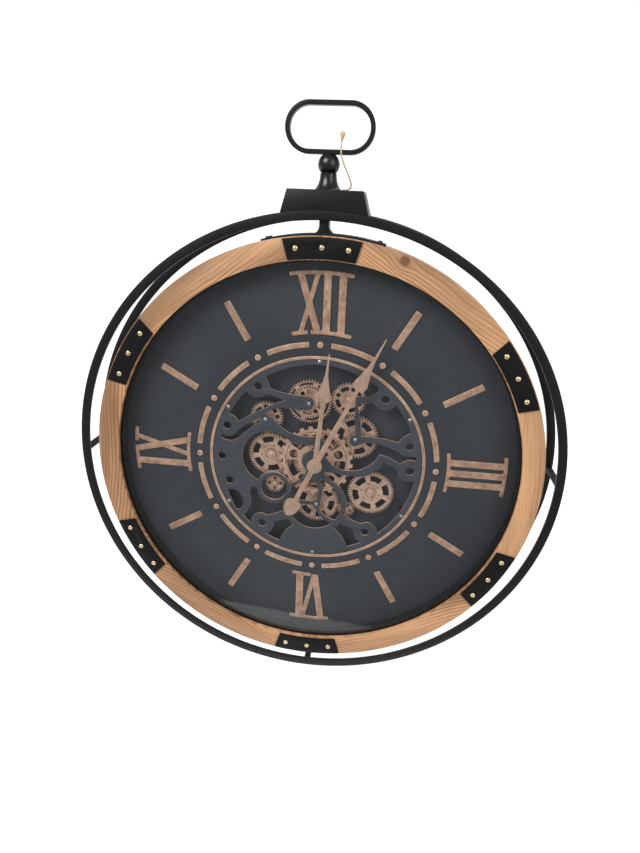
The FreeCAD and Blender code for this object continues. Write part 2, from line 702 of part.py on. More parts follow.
def lay_out_train():
    """Places, tooth phases and turning ratios of the wheels, each from the wheel that it meshes with."""
    places = {}
    phases = {}
    ratios = {}
    for name, (teeth, driver, direction) in TRAIN.items():
        if driver is None:
            places[name] = (0.0, 0.0)
            phases[name] = 0.0
            ratios[name] = 1.0
            continue
        driver_teeth = TRAIN[driver][0]
        dx, dz = polar(pitch_radius(name) + pitch_radius(driver) + MESH_SLACK, direction)
        places[name] = (places[driver][0] + dx, places[driver][1] + dz)
        driver_pitch = 360.0 / driver_teeth
        pitch = 360.0 / teeth
        driver_part = ((direction - phases[driver]) / driver_pitch) % 1.0
        phases[name] = direction + 180.0 - pitch * (0.5 - driver_part)
        ratios[name] = -ratios[driver] * driver_teeth / teeth
    return places, phases, ratios


def windows(at, count, r_in, r_out, span, start, y0, y1):
    return [round_corners(sector(at[0], at[1], r_in, r_out, start + 360.0 / count * k - span / 2.0,
                                 start + 360.0 / count * k + span / 2.0, y0, y1), 1.2)
            for k in range(count)]


def drillings(at, count, pcr, r, start, y0, y1):
    holes = []
    for k in range(count):
        dx, dz = polar(pcr, start + 360.0 / count * k)
        holes.append(rod(at[0] + dx, at[1] + dz, r, y0, y1))
    return holes


# wheel: windows (count, inner radius, outer radius, span, first angle), drillings (count, circle, radius,
# first angle) and hub radius
WHEEL_CUTS = {
    "left_wheel": ([(6, 18.6, 27.2, 40, -11)], [(6, 13.4, 0.9, 19)], 8.6),
    "right_wheel": ([(6, 18.6, 27.2, 40, 16)], [(6, 13.4, 0.9, -14)], 8.6),
    "left_pinion": ([], [(4, 8.4, 2.2, 0)], 4.6),
    "right_pinion": ([], [(4, 7.2, 1.8, 20)], 4.2),
    "lower_wheel": ([(6, 18.0, 26.6, 40, 44)], [(6, 13.4, 0.9, 14)], 8.6),
    "upper_wheel": ([(6, 25.4, 28.4, 44, -12)], [], 8.0),
    "upper_left_wheel": ([(4, 13.2, 18.8, 42, -51)], [(4, 16.2, 3.2, -6)], 7.0),
    "upper_right_wheel": ([(4, 13.4, 19.4, 42, -24)], [(4, 16.4, 3.2, 21)], 7.0),
    "east_wheel": ([(6, 18.2, 26.8, 40, 42)], [(6, 13.4, 0.9, 12)], 8.6),
}
# wheels with a raised line inside the rim and a grooved boss
RIDGED = ("left_wheel", "right_wheel", "lower_wheel", "east_wheel")
RIDGE_R = 29.0
RIDGE_RISE = 0.5
FRONT_TEETH = 34             # smaller toothed layer on the front of the upper wheel
FRONT_Y = 33.6
HUB_FRONT = 36.0
HUB_BACK = 42.5


def make_wheel(name, at, phase):
    teeth = TRAIN[name][0]
    y0 = WHEEL_Y
    y1 = WHEEL_Y + WHEEL_THICK
    cut_windows, cut_holes, hub_r = WHEEL_CUTS[name]
    disc = toothed_disc(teeth, MODULE, at[0], at[1], phase, y0, y1)
    for count, r_in, r_out, span, start in cut_windows:
        disc = disc.cut(windows(at, count, r_in, r_out, span, start, y0, y1))
    layers = [disc, rod(at[0], at[1], hub_r, HUB_FRONT, HUB_BACK)]
    if name == "upper_wheel":
        front = toothed_disc(FRONT_TEETH, MODULE, at[0], at[1], phase, FRONT_Y, y0)
        for cut in windows(at, 4, 13.2, 18.8, 42, 8, FRONT_Y, y0):
            front = front.cut(cut)
        layers.append(front)
        cut_holes = [(4, 16.2, 3.0, -37)]
    if name in RIDGED:
        layers.append(tube(at[0], at[1], RIDGE_R, RIDGE_R - 0.8, y0 - RIDGE_RISE, y0 + 1))
    wheel = join(layers)
    if name in RIDGED:
        wheel = wheel.cut(tube(at[0], at[1], hub_r - 1.0, hub_r - 1.9, HUB_FRONT, HUB_FRONT + 0.7))
    for count, pcr, r, start in cut_holes:
        wheel = wheel.cut(drillings(at, count, pcr, r, start, FRONT_Y, y1))
    return wheel.cut(rod(at[0], at[1], STUD_PIN_R + RUNNING, FRONT_Y, HUB_BACK))


CENTRE_TUBE_R = 9.0
CENTRE_RING_Y = 31.0
CENTRE_RING_THICK = 3.5


def make_centre_wheel(phase):
    y0 = WHEEL_Y
    y1 = WHEEL_Y + WHEEL_THICK
    disc = toothed_disc(TRAIN["centre_wheel"][0], MODULE, 0, 0, phase, y0, y1)
    disc = disc.cut(windows((0, 0), 5, 13.5, 30.0, 52, 20, y0, y1))
    drive = toothed_disc(DRIVE_TEETH, DRIVE_MODULE, 0, 0, 0, DRIVE_Y, DRIVE_Y + DRIVE_THICK)
    pipe = rod(0, 0, CENTRE_TUBE_R, CENTRE_RING_Y, DRIVE_Y + DRIVE_THICK)
    wheel = join([disc, drive, pipe])
    return wheel.cut(rod(0, 0, HUB_R + RUNNING, CENTRE_RING_Y, DRIVE_Y + DRIVE_THICK))


def make_centre_ring():
    """Coarse ring with square teeth, pressed on the front of the centre wheel's tube."""
    y0 = CENTRE_RING_Y
    y1 = CENTRE_RING_Y + CENTRE_RING_THICK
    teeth = 24
    layers = [rod(0, 0, 50.3, y0, y1)]
    for k in range(teeth):
        tooth = polygon([(-3.7, 49), (-3.2, 54.5), (3.2, 54.5), (3.7, 49)], y0, y1)
        layers.append(radial_turn(tooth, 4 + 360.0 / teeth * k))
    ring = join(layers)
    ring = ring.cut(windows((0, 0), 5, 28.0, 43.5, 38, -111, y0, y1))
    ring = ring.cut(drillings((0, 0), 5, 35.0, 6.4, -75, y0, y1))
    ring = ring.cut(windows((0, 0), 3, 13.0, 21.0, 80, 20, y0, y1))
    groove = tube(0, 0, 46.0, 45.0, y0, y0 + 0.8)
    return ring.cut(groove).cut(rod(0, 0, CENTRE_TUBE_R, y0, y1))


def make_gear_studs(arbors):
    """Fixed studs on the base plate; four run on to the skeleton plate, the others end in a clip head."""
    studs = [tube(0, 0, HUB_R, BUSH_R, DIAL_Y + SKELETON_THICK, BASE_Y)]
    for name, at in arbors.items():
        if name == "centre_wheel":
            continue
        foot = [(5.0, BASE_Y), (5.0, HUB_BACK + 0.5), (STUD_PIN_R, HUB_BACK + 0.5)]
        if name in THROUGH_ARBORS:
            stud = turned(at[0], at[1], foot + [(STUD_PIN_R, DIAL_Y + SKELETON_THICK)])
            stud = stud.cut(rod(at[0], at[1], 1.25, DIAL_Y, DIAL_Y + 8))
        else:
            head = [(STUD_PIN_R, HUB_FRONT - 0.4), (3.6, HUB_FRONT - 0.4), (3.6, HUB_FRONT - 1.0),
                    (2.4, HUB_FRONT - 1.8)]
            stud = turned(at[0], at[1], foot + head)
        studs.append(stud)
    return group(studs)


def drive_pinion_place():
    r = (DRIVE_TEETH + DRIVE_PINION_TEETH) * DRIVE_MODULE / 2.0 + DRIVE_SLACK
    return polar(r, 0)


def make_drive_pinion():
    x, z = drive_pinion_place()
    pitch = 360.0 / DRIVE_PINION_TEETH
    pinion = toothed_disc(DRIVE_PINION_TEETH, DRIVE_MODULE, x, z, 180 - pitch / 2.0, DRIVE_Y,
                          DRIVE_Y + DRIVE_THICK)
    return join([pinion, rod(x, z, SPINDLE_R, DRIVE_Y, BOX_Y + 8)])


# ---- hands and movement ---------------------------------------------------------------------------
BOX_Y = BASE_Y + BASE_THICK          # front of the movement and of the drive unit
BOX_HALF = 28.0
BOX_DEPTH = 18.0
BOX_WALL = 1.5
CELL_R = 7.2
CELL_LENGTH = 49.0
KNOB_AT = (15.0, 14.0)
BUSH_FRONT = 22.6
HAND_BOSS_R = 11.0


def hollow_box(z_mid):
    outer = box(-BOX_HALF, BOX_HALF, BOX_Y, BOX_Y + BOX_DEPTH, z_mid - BOX_HALF, z_mid + BOX_HALF)
    outer = round_corners(outer, 3.0)
    inner_half = BOX_HALF - BOX_WALL
    inner = box(-inner_half, inner_half, BOX_Y + BOX_WALL, BOX_Y + BOX_DEPTH - BOX_WALL, z_mid - inner_half,
                z_mid + inner_half)
    return outer.cut(inner)


def make_movement_housing():
    body = join([hollow_box(0.0), rod(0, 0, BUSH_R, BUSH_FRONT, BOX_Y + BOX_WALL)])
    body = body.cut(rod(0, 0, HOUR_SLEEVE_R + RUNNING, BUSH_FRONT, BOX_Y + BOX_WALL))
    y_back = BOX_Y + BOX_DEPTH
    return body.cut(rod(KNOB_AT[0], KNOB_AT[1], 2.0 + RUNNING, y_back - BOX_WALL, y_back))


DRIVE_UNIT_Z = 58.0


def make_drive_unit():
    x, z = drive_pinion_place()
    body = hollow_box(DRIVE_UNIT_Z)
    return body.cut(rod(x, z, SPINDLE_R + RUNNING, BOX_Y, BOX_Y + BOX_WALL))


def make_cells():
    cells = []
    y = BOX_Y + BOX_WALL + CELL_R + 0.2
    for z in (-17.0, DRIVE_UNIT_Z + 17.0):
        body = Part.makeCylinder(CELL_R, CELL_LENGTH - 1.5, V(-CELL_LENGTH / 2.0, y, z), V(1, 0, 0))
        cap = Part.makeCylinder(2.6, 1.5, V(CELL_LENGTH / 2.0 - 1.5, y, z), V(1, 0, 0))
        cells.append(join([body, cap]))
    return group(cells)


def make_dial_nut():
    """Six-sided nut on the movement's bush, in front of the skeleton plate."""
    points = [polar(8.0, 30 + 60 * k) for k in range(6)]
    nut = polygon(points, DIAL_Y - 2.5, DIAL_Y)
    return nut.cut(rod(0, 0, BUSH_R, DIAL_Y - 3, DIAL_Y))


def make_knob():
    x, z = KNOB_AT
    y0 = BOX_Y + BOX_DEPTH + 0.3
    disc = rod(x, z, 7.0, y0, y0 + 3.0)
    for k in range(12):
        dx, dz = polar(7.6, 30 * k)
        disc = disc.cut(rod(x + dx, z + dz, 1.2, y0, y0 + 3.0))
    return join([disc, rod(x, z, 2.0, y0 - 6.0, y0)])


def hand_face(base_r, wide_r, wide_half, waist_r, waist_half, tip_r, stem_half, root_half, root_r):
    """Outline of a hand that points at 12: stem, rounded shoulders, hollow taper and needle tip."""
    tip_half = 0.55
    shoulder = (wide_half * 0.80, base_r + (wide_r - base_r) * 0.30)
    hollow = (waist_half + (wide_half - waist_half) * 0.34, wide_r + (waist_r - wide_r) * 0.55)
    return outline((-root_half, root_r), (-stem_half, base_r),
                   ((-shoulder[0], shoulder[1]), (-wide_half, wide_r)),
                   ((-hollow[0], hollow[1]), (-waist_half, waist_r)), (-tip_half, tip_r), (tip_half, tip_r),
                   (waist_half, waist_r), ((hollow[0], hollow[1]), (wide_half, wide_r)),
                   ((shoulder[0], shoulder[1]), (stem_half, base_r)), (root_half, root_r))


def make_minute_hand():
    y0 = MINUTE_Y
    y1 = MINUTE_Y + HAND_THICK
    front = slab(hand_face(130, 141.5, 9.9, 176, 2.2, 211.6, 2.6, 4.2, 0), y0, y1)
    tail = slab(outline((-3.2, -64), (-4.0, 0), (4.0, 0), (3.2, -64)), y0, y1)
    weight = slab(outline((-3, -62), ((-10.3, -66), (-11.2, -75)), ((-7.5, -86), (0, -92)),
                          ((7.5, -86), (11.2, -75)), ((10.3, -66), (3, -62))), y0, y1)
    hand = join([front, tail, weight, rod(0, 0, HAND_BOSS_R, y0 - 0.6, y1 + 0.6)])
    hand = radial_turn(hand, MINUTE_ANGLE)
    spindle = rod(0, 0, SPINDLE_R, y0 - 0.8, BOX_Y + 10)
    return join([hand, spindle])


def make_hour_hand():
    y0 = HOUR_Y
    y1 = HOUR_Y + HAND_THICK
    hand = join([slab(hand_face(96, 105.5, 10.2, 138, 2.0, 166.3, 2.6, 3.8, 0), y0, y1),
                 rod(0, 0, 9.0, y0 - 0.4, y1 + 0.6)])
    hand = join([radial_turn(hand, HOUR_ANGLE), rod(0, 0, HOUR_SLEEVE_R, y0, BOX_Y + 6)])
    return hand.cut(rod(0, 0, SPINDLE_R + RUNNING, y0 - 2, BOX_Y + 7))


def make_hand_nut():
    """Small domed brass cap on the minute spindle."""
    y1 = MINUTE_Y - 0.6
    cap = turned(0, 0, [(2.6, y1), (2.6, y1 - 0.25), (1.6, y1 - 0.7)])
    return cap.cut(rod(0, 0, SPINDLE_R, y1 - 0.2, y1))


# ---- string ---------------------------------------------------------------------------------------
def make_string(route, r):
    """Straight runs joined by tangent arcs, swept with a round section."""
    edges = []
    here = route[0]
    for before, corner, after in zip(route, route[1:], route[2:]):
        to_corner = corner - before
        from_corner = after - corner
        turn = to_corner.getAngle(from_corner)
        reach = 0.45 * min(to_corner.Length, from_corner.Length)
        radius = reach / math.tan(turn / 2.0)
        into = V(to_corner).normalize()
        out = V(from_corner).normalize()
        start = corner - into * reach
        end = corner + out * reach
        inward = (out - into).normalize()
        middle = corner + inward * (radius / math.cos(turn / 2.0) - radius)
        edges.append(Part.LineSegment(here, start).toShape())
        edges.append(Part.Arc(start, middle, end).toShape())
        print("string bend radius %.1f mm, turn %.0f deg" % (radius, math.degrees(turn)))
        here = end
    edges.append(Part.LineSegment(here, route[-1]).toShape())
    path = Part.Wire(edges)
    heading = (route[1] - route[0]).normalize()
    section = Part.Wire([Part.makeCircle(r, route[0], heading)])
    cord = path.makePipeShell([section], True, False)
    ratio = cord.Volume / (path.Length * math.pi * r * r)
    print("string length %.1f mm, volume ratio %.4f" % (path.Length, ratio))
    return cord


def make_knot(route):
    """Frayed knot at the string's free end, widening to a rounded head."""
    heading = (route[-1] - route[-2]).normalize()
    shoulder = Part.makeCone(STRING_R, KNOT_R, KNOT_SHOULDER, route[-1], heading)
    head = Part.makeSphere(KNOT_R, route[-1] + heading * KNOT_SHOULDER)
    return join([shoulder, head])


# ---- all pieces -----------------------------------------------------------------------------------
def all_pieces():
    places, phases, ratios = lay_out_train()
    pieces = {
        "front_hoop": make_hoop(FRONT_HOOP_Y),
        "rear_hoop": make_hoop(REAR_HOOP_Y),
        "hoop_struts": make_struts(),
        "crown_block": make_crown_block(),
        "wall_hanger": make_hanger(),
        "crown_finial": make_finial(),
        "handle_loop": make_loop(),
        "crown_bolt": make_crown_bolt(),
        "hanger_post": make_post(),
        "case_saddle": make_saddle(),
        "saddle_screws": make_saddle_screws(),
        "joint_plates": make_joint_plates(),
        "joint_rivets": make_rivets(),
        "front_glass": make_glass(),
        "glass_rim": make_glass_rim(),
        "case_drum": make_drum(),
        "case_back": make_case_back(),
        "back_screws": make_back_screws(),
        "dial_plate": make_dial_plate(),
        "hour_bars": make_hour_bars(),
        "minute_arcs": make_minute_arcs(),
        "minute_studs": make_minute_studs(),
        "chapter_ring": make_chapter_ring(),
        "skeleton_plate": make_skeleton_plate(places),
        "plate_screws": make_plate_screws(places),
        "plate_pillars": make_pillars(),
        "base_plate": make_base_plate(),
        "gear_studs": make_gear_studs(places),
        "centre_wheel": make_centre_wheel(phases["centre_wheel"]),
        "centre_ring": make_centre_ring(),
        "drive_pinion": make_drive_pinion(),
        "drive_unit": make_drive_unit(),
        "movement_housing": make_movement_housing(),
        "movement_cells": make_cells(),
        "dial_nut": make_dial_nut(),
        "setting_knob": make_knob(),
        "minute_hand": make_minute_hand(),
        "hour_hand": make_hour_hand(),
        "hand_nut": make_hand_nut(),
        "tag_string": make_string(STRING_ROUTE, STRING_R),
        "tag_knot": make_knot(STRING_ROUTE),
    }
    for k in range(JOINTS):
        pieces["wood_segment_%d" % (k + 1)] = make_wood_segment(k)
    for name, (strokes, serifs, angle) in NUMERALS.items():
        pieces[name] = make_numeral(strokes, serifs, angle)
    for name in WHEEL_CUTS:
        pieces[name] = make_wheel(name, places[name], phases[name])
    return pieces, places, ratios


def main():
    os.makedirs("parts", exist_ok=True)
    pieces, places, ratios = all_pieces()
    for name, shape in pieces.items():
        shape.translate(V(0, -WALL_Y, -HANG_Z))
        shape.exportStep("parts/%s.step" % name)
        facts = (name, len(shape.Solids), shape.isValid(), shape.Volume)
        print("%-20s solids %2d valid %s volume %.0f" % facts)
    for name, (x, z) in places.items():
        print("%-20s axis x %.4f z %.4f ratio %.6f" % (name, x, z - HANG_Z, ratios[name]))
    print(len(pieces), "pieces")


main()
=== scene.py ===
"""Looks for the skeleton wall clock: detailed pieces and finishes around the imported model.

Everything is in metres in the model's own frame.  Angles round the dial are clock angles, in degrees
from 12 o'clock, and +Y points into the wall.
"""
import json
import math

import bmesh
import bpy
from mathutils import Matrix, Vector


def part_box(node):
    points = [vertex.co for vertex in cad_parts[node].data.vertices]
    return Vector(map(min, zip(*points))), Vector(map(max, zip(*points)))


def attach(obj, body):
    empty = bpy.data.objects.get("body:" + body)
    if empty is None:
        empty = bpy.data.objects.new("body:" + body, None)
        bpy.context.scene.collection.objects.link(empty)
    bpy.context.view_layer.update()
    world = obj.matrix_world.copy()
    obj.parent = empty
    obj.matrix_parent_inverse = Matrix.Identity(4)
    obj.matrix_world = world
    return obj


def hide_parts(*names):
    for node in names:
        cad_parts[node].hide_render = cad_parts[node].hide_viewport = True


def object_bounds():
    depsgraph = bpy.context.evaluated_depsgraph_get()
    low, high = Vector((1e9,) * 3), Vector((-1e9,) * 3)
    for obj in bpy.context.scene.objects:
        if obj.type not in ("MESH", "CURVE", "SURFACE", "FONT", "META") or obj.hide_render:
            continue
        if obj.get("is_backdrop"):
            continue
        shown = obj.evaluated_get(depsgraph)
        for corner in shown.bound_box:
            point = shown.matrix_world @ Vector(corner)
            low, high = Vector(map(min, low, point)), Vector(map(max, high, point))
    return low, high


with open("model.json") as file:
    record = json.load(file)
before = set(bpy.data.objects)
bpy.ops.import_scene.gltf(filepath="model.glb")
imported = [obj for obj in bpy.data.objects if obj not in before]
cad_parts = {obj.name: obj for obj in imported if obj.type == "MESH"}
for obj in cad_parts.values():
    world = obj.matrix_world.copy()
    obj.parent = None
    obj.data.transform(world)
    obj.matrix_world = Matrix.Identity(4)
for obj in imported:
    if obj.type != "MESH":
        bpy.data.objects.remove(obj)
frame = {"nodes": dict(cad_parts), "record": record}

bl_info = {
    "name": "Skeleton Wall Clock",
    "version": (1, 0, 0),
    "blender": (4, 5, 0),
    "location": "3D View > Sidebar > Clock",
    "description": "Builds the pieces and finishes of a pocket-watch shaped skeleton wall clock",
    "category": "Object",
}

MM = 0.001


# ---- places taken from the frame ------------------------------------------------------------------
def span(node):
    """Lowest and highest corner of a frame node, as vectors."""
    low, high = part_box(node)
    return Vector(low), Vector(high)


def middle(node):
    low, high = span(node)
    return (low + high) / 2


GLASS_LOW, GLASS_HIGH = span("front_glass")
DIAL = (GLASS_LOW + GLASS_HIGH) / 2
HOOP_LOW, HOOP_HIGH = span("front_hoop")
HOOP_R = (HOOP_HIGH.x - HOOP_LOW.x) / 2
FLOOR_GAP = 0.11                       # the clock hangs this far above the studio floor


def on_dial(radius, angle, y):
    """A point at a radius and a clock angle."""
    turn = math.radians(angle)
    return Vector((DIAL.x + radius * math.sin(turn), y, DIAL.z + radius * math.cos(turn)))


# ---- sizes and colours a user would change --------------------------------------------------------
def length(name, description, default):
    return bpy.props.FloatProperty(name=name, description=description, default=default, unit="LENGTH",
                                   precision=5)


def colour(name, description, default):
    return bpy.props.FloatVectorProperty(name=name, description=description, default=default, size=3,
                                         subtype="COLOR", min=0.0, max=1.0)


class ClockSizes(bpy.types.PropertyGroup):
    """Sizes that shape the finer detail."""

    sheet_edge: length("Sheet edge", "Rounding of pressed sheet edges", 0.6 * MM)
    tooth_edge: length("Tooth edge", "Rounding of the wheels' edges", 0.22 * MM)
    wood_edge: length("Wood edge", "Rounding of the bezel's edges", 1.0 * MM)
    relief_edge: length("Relief edge", "Rounding of numerals and bars", 0.6 * MM)
    weld_bead: length("Weld bead", "Size of the beads where bars are welded", 0.9 * MM)
    strand: length("String strand", "Thickness of the tag string", 2.0 * MM)


class ClockColours(bpy.types.PropertyGroup):
    """Colours of the finishes."""

    wood_light: colour("Wood", "Light wood between the growth rings", (0.5, 0.28, 0.142))
    wood_dark: colour("Wood streak", "Late wood and knots", (0.17, 0.062, 0.024))
    frame_black: colour("Frame", "Powder coat of hoops and plates", (0.005, 0.005, 0.006))
    loop_brown: colour("Loop", "Coat of the handle loop", (0.009, 0.007, 0.006))
    slate: colour("Dial", "Slate grey of the dial", (0.05, 0.051, 0.062))
    bronze: colour("Bronze", "Numerals, bars and rings", (0.92, 0.54, 0.37))
    bronze_dark: colour("Dark bronze", "Rubbed middle of the numerals", (0.48, 0.265, 0.175))
    rose: colour("Rose gold", "Wheels and hands", (0.95, 0.59, 0.435))
    brass: colour("Brass", "Rivets", (0.83, 0.66, 0.38))
    jute: colour("Jute", "Tag string", (0.66, 0.5, 0.32))


def sizes():
    return bpy.context.scene.clock_sizes


def colours():
    return bpy.context.scene.clock_colours


# ---- shader expressions ---------------------------------------------------------------------------
class Channel:
    """A shader value that takes part in ordinary expressions."""

    def __init__(self, finish, socket):
        self.finish = finish
        self.socket = socket

    def math(self, operation, *others):
        values = dict(enumerate((self,) + others))
        return self.finish.node("ShaderNodeMath", {"operation": operation}, values)

    def __add__(self, other):
        return self.math("ADD", other)

    def __mul__(self, other):
        return self.math("MULTIPLY", other)

    def __sub__(self, other):
        return self.math("SUBTRACT", other)

    def __rsub__(self, other):
        return self * -1.0 + other

    def __pow__(self, other):
        return self.math("POWER", other)


class Finish:
    """A material under construction."""

    def __init__(self, name, base=(0.5, 0.5, 0.5), roughness=0.5, metallic=0.0, constants=None):
        self.material = bpy.data.materials.new(name)
        self.material.use_nodes = True
        self.tree = self.material.node_tree
        self.shader = self.tree.nodes["Principled BSDF"]
        self.set("Base Color", base)
        self.set("Roughness", roughness)
        self.set("Metallic", metallic)
        for key, value in (constants or {}).items():
            self.set(key, value)

    def node(self, kind, settings=None, sockets=None, output=0):
        """Adds a node: its settings first, then its sockets' values or links; gives one output."""
        node = self.tree.nodes.new(kind)
        for key, value in (settings or {}).items():
            if key == "stops":
                elements = node.color_ramp.elements
                for extra in range(len(value) - 2):
                    elements.new(0.5)
                for element, (position, stop) in zip(elements, value):
                    element.position = position
                    element.color = (*stop, 1.0)
            else:
                setattr(node, key, value)
        for key, value in (sockets or {}).items():
            self.feed(node.inputs[key], value)
        return Channel(self, node.outputs[output])

    def feed(self, socket, value):
        if isinstance(value, Channel):
            self.tree.links.new(value.socket, socket)
        elif socket.type == "RGBA" and len(value) == 3:
            socket.default_value = (*value, 1.0)
        else:
            socket.default_value = value

    def set(self, name, value):
        self.feed(self.shader.inputs[name], value)

    def place(self):
        return self.node("ShaderNodeTexCoord", output=3)

    def from_dial(self):
        """Place measured from the dial's centre."""
        return self.node("ShaderNodeVectorMath", {"operation": "SUBTRACT"},
                         {0: self.place(), 1: tuple(DIAL)})

    def stretched(self, vector, scale):
        return self.node("ShaderNodeVectorMath", {"operation": "MULTIPLY"}, {0: vector, 1: scale})

    def axes(self, vector):
        return [self.node("ShaderNodeSeparateXYZ", {}, {0: vector}, output=k) for k in range(3)]

    def vector(self, x, y, z):
        return self.node("ShaderNodeCombineXYZ", {}, {0: x, 1: y, 2: z})

    def noise(self, vector, scale, detail=3.0, roughness=0.55, distortion=0.0):
        return self.node("ShaderNodeTexNoise", {}, {"Vector": vector, "Scale": scale, "Detail": detail,
                                                     "Roughness": roughness, "Distortion": distortion})

    def ramp(self, value, low, high):
        """Smoothly from 0 at low to 1 at high."""
        return self.node("ShaderNodeMapRange", {"interpolation_type": "SMOOTHSTEP"},
                         {"Value": value, "From Min": low, "From Max": high})

    def blend(self, factor, low, high):
        """A colour between low, at factor 0, and high, at factor 1."""
        return self.node("ShaderNodeMix", {"data_type": "RGBA"}, {0: factor, 6: low, 7: high}, output=2)

    def bump(self, height, strength, distance):
        self.set("Normal", self.node("ShaderNodeBump", {}, {
            "Height": height, "Strength": strength, "Distance": distance}))


def toned(base, factor):
    return tuple(min(1.0, part * factor) for part in base)


# ---- finishes -------------------------------------------------------------------------------------
def powder_coat(name, base, roughness, specular=0.3):
    """Satin coat over steel: fine orange-peel bump and slightly uneven gloss."""
    coat = Finish(name, base, roughness, 0.0, {"Specular IOR Level": specular})
    place = coat.place()
    patches = coat.noise(place, 14.0, 4.0)
    coat.set("Roughness", patches * 0.16 + (roughness - 0.08))
    coat.set("Base Color", coat.blend(patches, toned(base, 0.75), toned(base, 1.35)))
    coat.bump(coat.noise(place, 900.0, 2.0), 0.06, 0.0003)
    return coat.material


def frame_coat():
    return powder_coat("frame_satin_black", colours().frame_black, 0.42)


def strap_coat():
    return powder_coat("joint_plate_black", toned(colours().frame_black, 0.9), 0.55, 0.17)


def rim_coat():
    return powder_coat("rim_black", toned(colours().frame_black, 0.8), 0.6)


def loop_coat():
    return powder_coat("loop_dark_brown", colours().loop_brown, 0.36)


def finial_gloss():
    gloss = Finish("finial_gloss_black", (0.004, 0.004, 0.005), 0.3, 0.0, {"Specular IOR Level": 0.5})
    gloss.set("Roughness", gloss.noise(gloss.place(), 60.0) * 0.14 + 0.2)
    return gloss.material


def back_board():
    """Dark stained hardboard with short fibres."""
    board = Finish("back_board_dark", (0.03, 0.024, 0.02), 0.75)
    place = board.place()
    fibres = board.noise(board.stretched(place, (1.0, 1.0, 3.0)), 260.0, 5.0)
    board.set("Base Color", board.blend(fibres, (0.018, 0.014, 0.012), (0.055, 0.043, 0.035)))
    board.bump(fibres, 0.25, 0.0006)
    return board.material


# growth rings of a bezel segment
RING_PITCH = 5.4 * MM
RING_DRIFT = 24.0 * MM                   # how far the rings wander
KNOT_AT = (-71.5 * MM, 304.3 * MM)       # along and across the grain, in the first segment
KNOT_R = 6.0 * MM
KNOT_REACH = 22.0 * MM
GRAIN_SKEW = (3.0, -5.0, 6.0, -4.0, 5.0, -7.0)


def honey_wood(index):
    """Straight-grained fir cut along its segment, with wavy growth rings and fine pores."""
    light = colours().wood_light
    dark = colours().wood_dark
    wood = Finish("honey_wood_%d" % (index + 1), light, 0.5, 0.0, {"Specular IOR Level": 0.35})
    segment_middle = 60.0 * index + 30.0
    grain = wood.node("ShaderNodeMapping", {}, {
        "Vector": wood.from_dial(),
        "Rotation": (0.0, -math.radians(segment_middle + GRAIN_SKEW[index]), 0.0)})
    along, depth, across = wood.axes(grain)
    shift = 0.37 * index
    drift = wood.noise(wood.vector(along * 5.0 + shift, depth * 9.0, across * 16.0), 1.0, 2.0)
    ring_line = across + (drift - 0.5) * RING_DRIFT + depth * 0.25
    knot_mask = None
    if index == 0:
        knot_x = along - KNOT_AT[0]
        knot_z = across - KNOT_AT[1]
        distance = (knot_x * knot_x * 0.75 + knot_z * knot_z).math("SQRT")
        near = 1.0 - wood.ramp(distance, 0.0, KNOT_REACH)
        ring_line = ring_line - knot_z * near * 0.95
        knot_mask = 1.0 - wood.ramp(distance, KNOT_R * 0.7, KNOT_R * 1.25)
        knot_rings = (distance * (2.0 * math.pi / (1.9 * MM))).math("SINE") * 0.5 + 0.5
    wave = (ring_line * (2.0 * math.pi / RING_PITCH)).math("SINE") * 0.5 + 0.5
    boldness = wood.noise(wood.vector(along * 4.0, shift, across * 13.0 + shift), 1.0, 1.0)
    bold = wood.ramp(boldness, 0.36, 0.62)
    late_wood = wave ** 2.2 * (bold * 0.9 + 0.1)
    fibres = wood.noise(wood.vector(along * 22.0, depth * 700.0, across * 700.0), 1.0, 4.0)
    tone = wood.noise(wood.vector(along * 3.0 + shift, depth, across * 30.0), 1.0, 3.0)
    surface = wood.blend(wood.ramp(tone, 0.3, 0.7), toned(light, 0.58), toned(light, 1.25))
    surface = wood.blend(late_wood * 0.68, surface, dark)
    surface = wood.blend(wood.ramp(fibres, 0.5, 0.75) * 0.45, surface, toned(dark, 1.3))
    if knot_mask is not None:
        surface = wood.blend(knot_mask * (knot_rings * 0.35 + 0.6), surface, toned(dark, 0.62))
    wood.set("Base Color", surface)
    wood.set("Roughness", fibres * 0.2 + 0.42)
    wood.bump(fibres * 0.5 + late_wood * 0.5, 0.22, 0.0005)
    return wood.material


DUST_CENTRE = (96.0 * MM, 205.0 * MM)    # a dusting of gold specks near one o'clock
DUST_REACH = 34.0 * MM


def slate(name="dial_slate", painted_light_tone=1.0):
    """Dark slate paint with faint mottling and gold specks."""
    # Above 1.0 this makes a lighter copy of the slate: painted light against shade, plus the glass's faint
    # reflection.
    base = toned(colours().slate, painted_light_tone)
    paint = Finish(name, base, 0.5, 0.0, {"Specular IOR Level": 0.3})
    dial = paint.from_dial()
    x, depth, z = paint.axes(dial)
    mottle = paint.noise(dial, 22.0, 5.0)
    dust_x = x - DUST_CENTRE[0]
    dust_z = z - DUST_CENTRE[1]
    dusting = 1.0 - paint.ramp((dust_x * dust_x + dust_z * dust_z).math("SQRT"), 0.0, DUST_REACH)
    specks = paint.noise(dial, 420.0, 2.0, 0.7)
    gold = paint.ramp(specks + dusting * 0.13, 0.72, 0.78)
    tone = paint.blend(mottle, toned(base, 0.78), toned(base, 1.3))
    paint.set("Base Color", paint.blend(gold * 0.5, tone, (0.4, 0.27, 0.16)))
    paint.set("Roughness", mottle * 0.22 + 0.4)
    paint.bump(mottle, 0.06, 0.0006)
    return paint.material


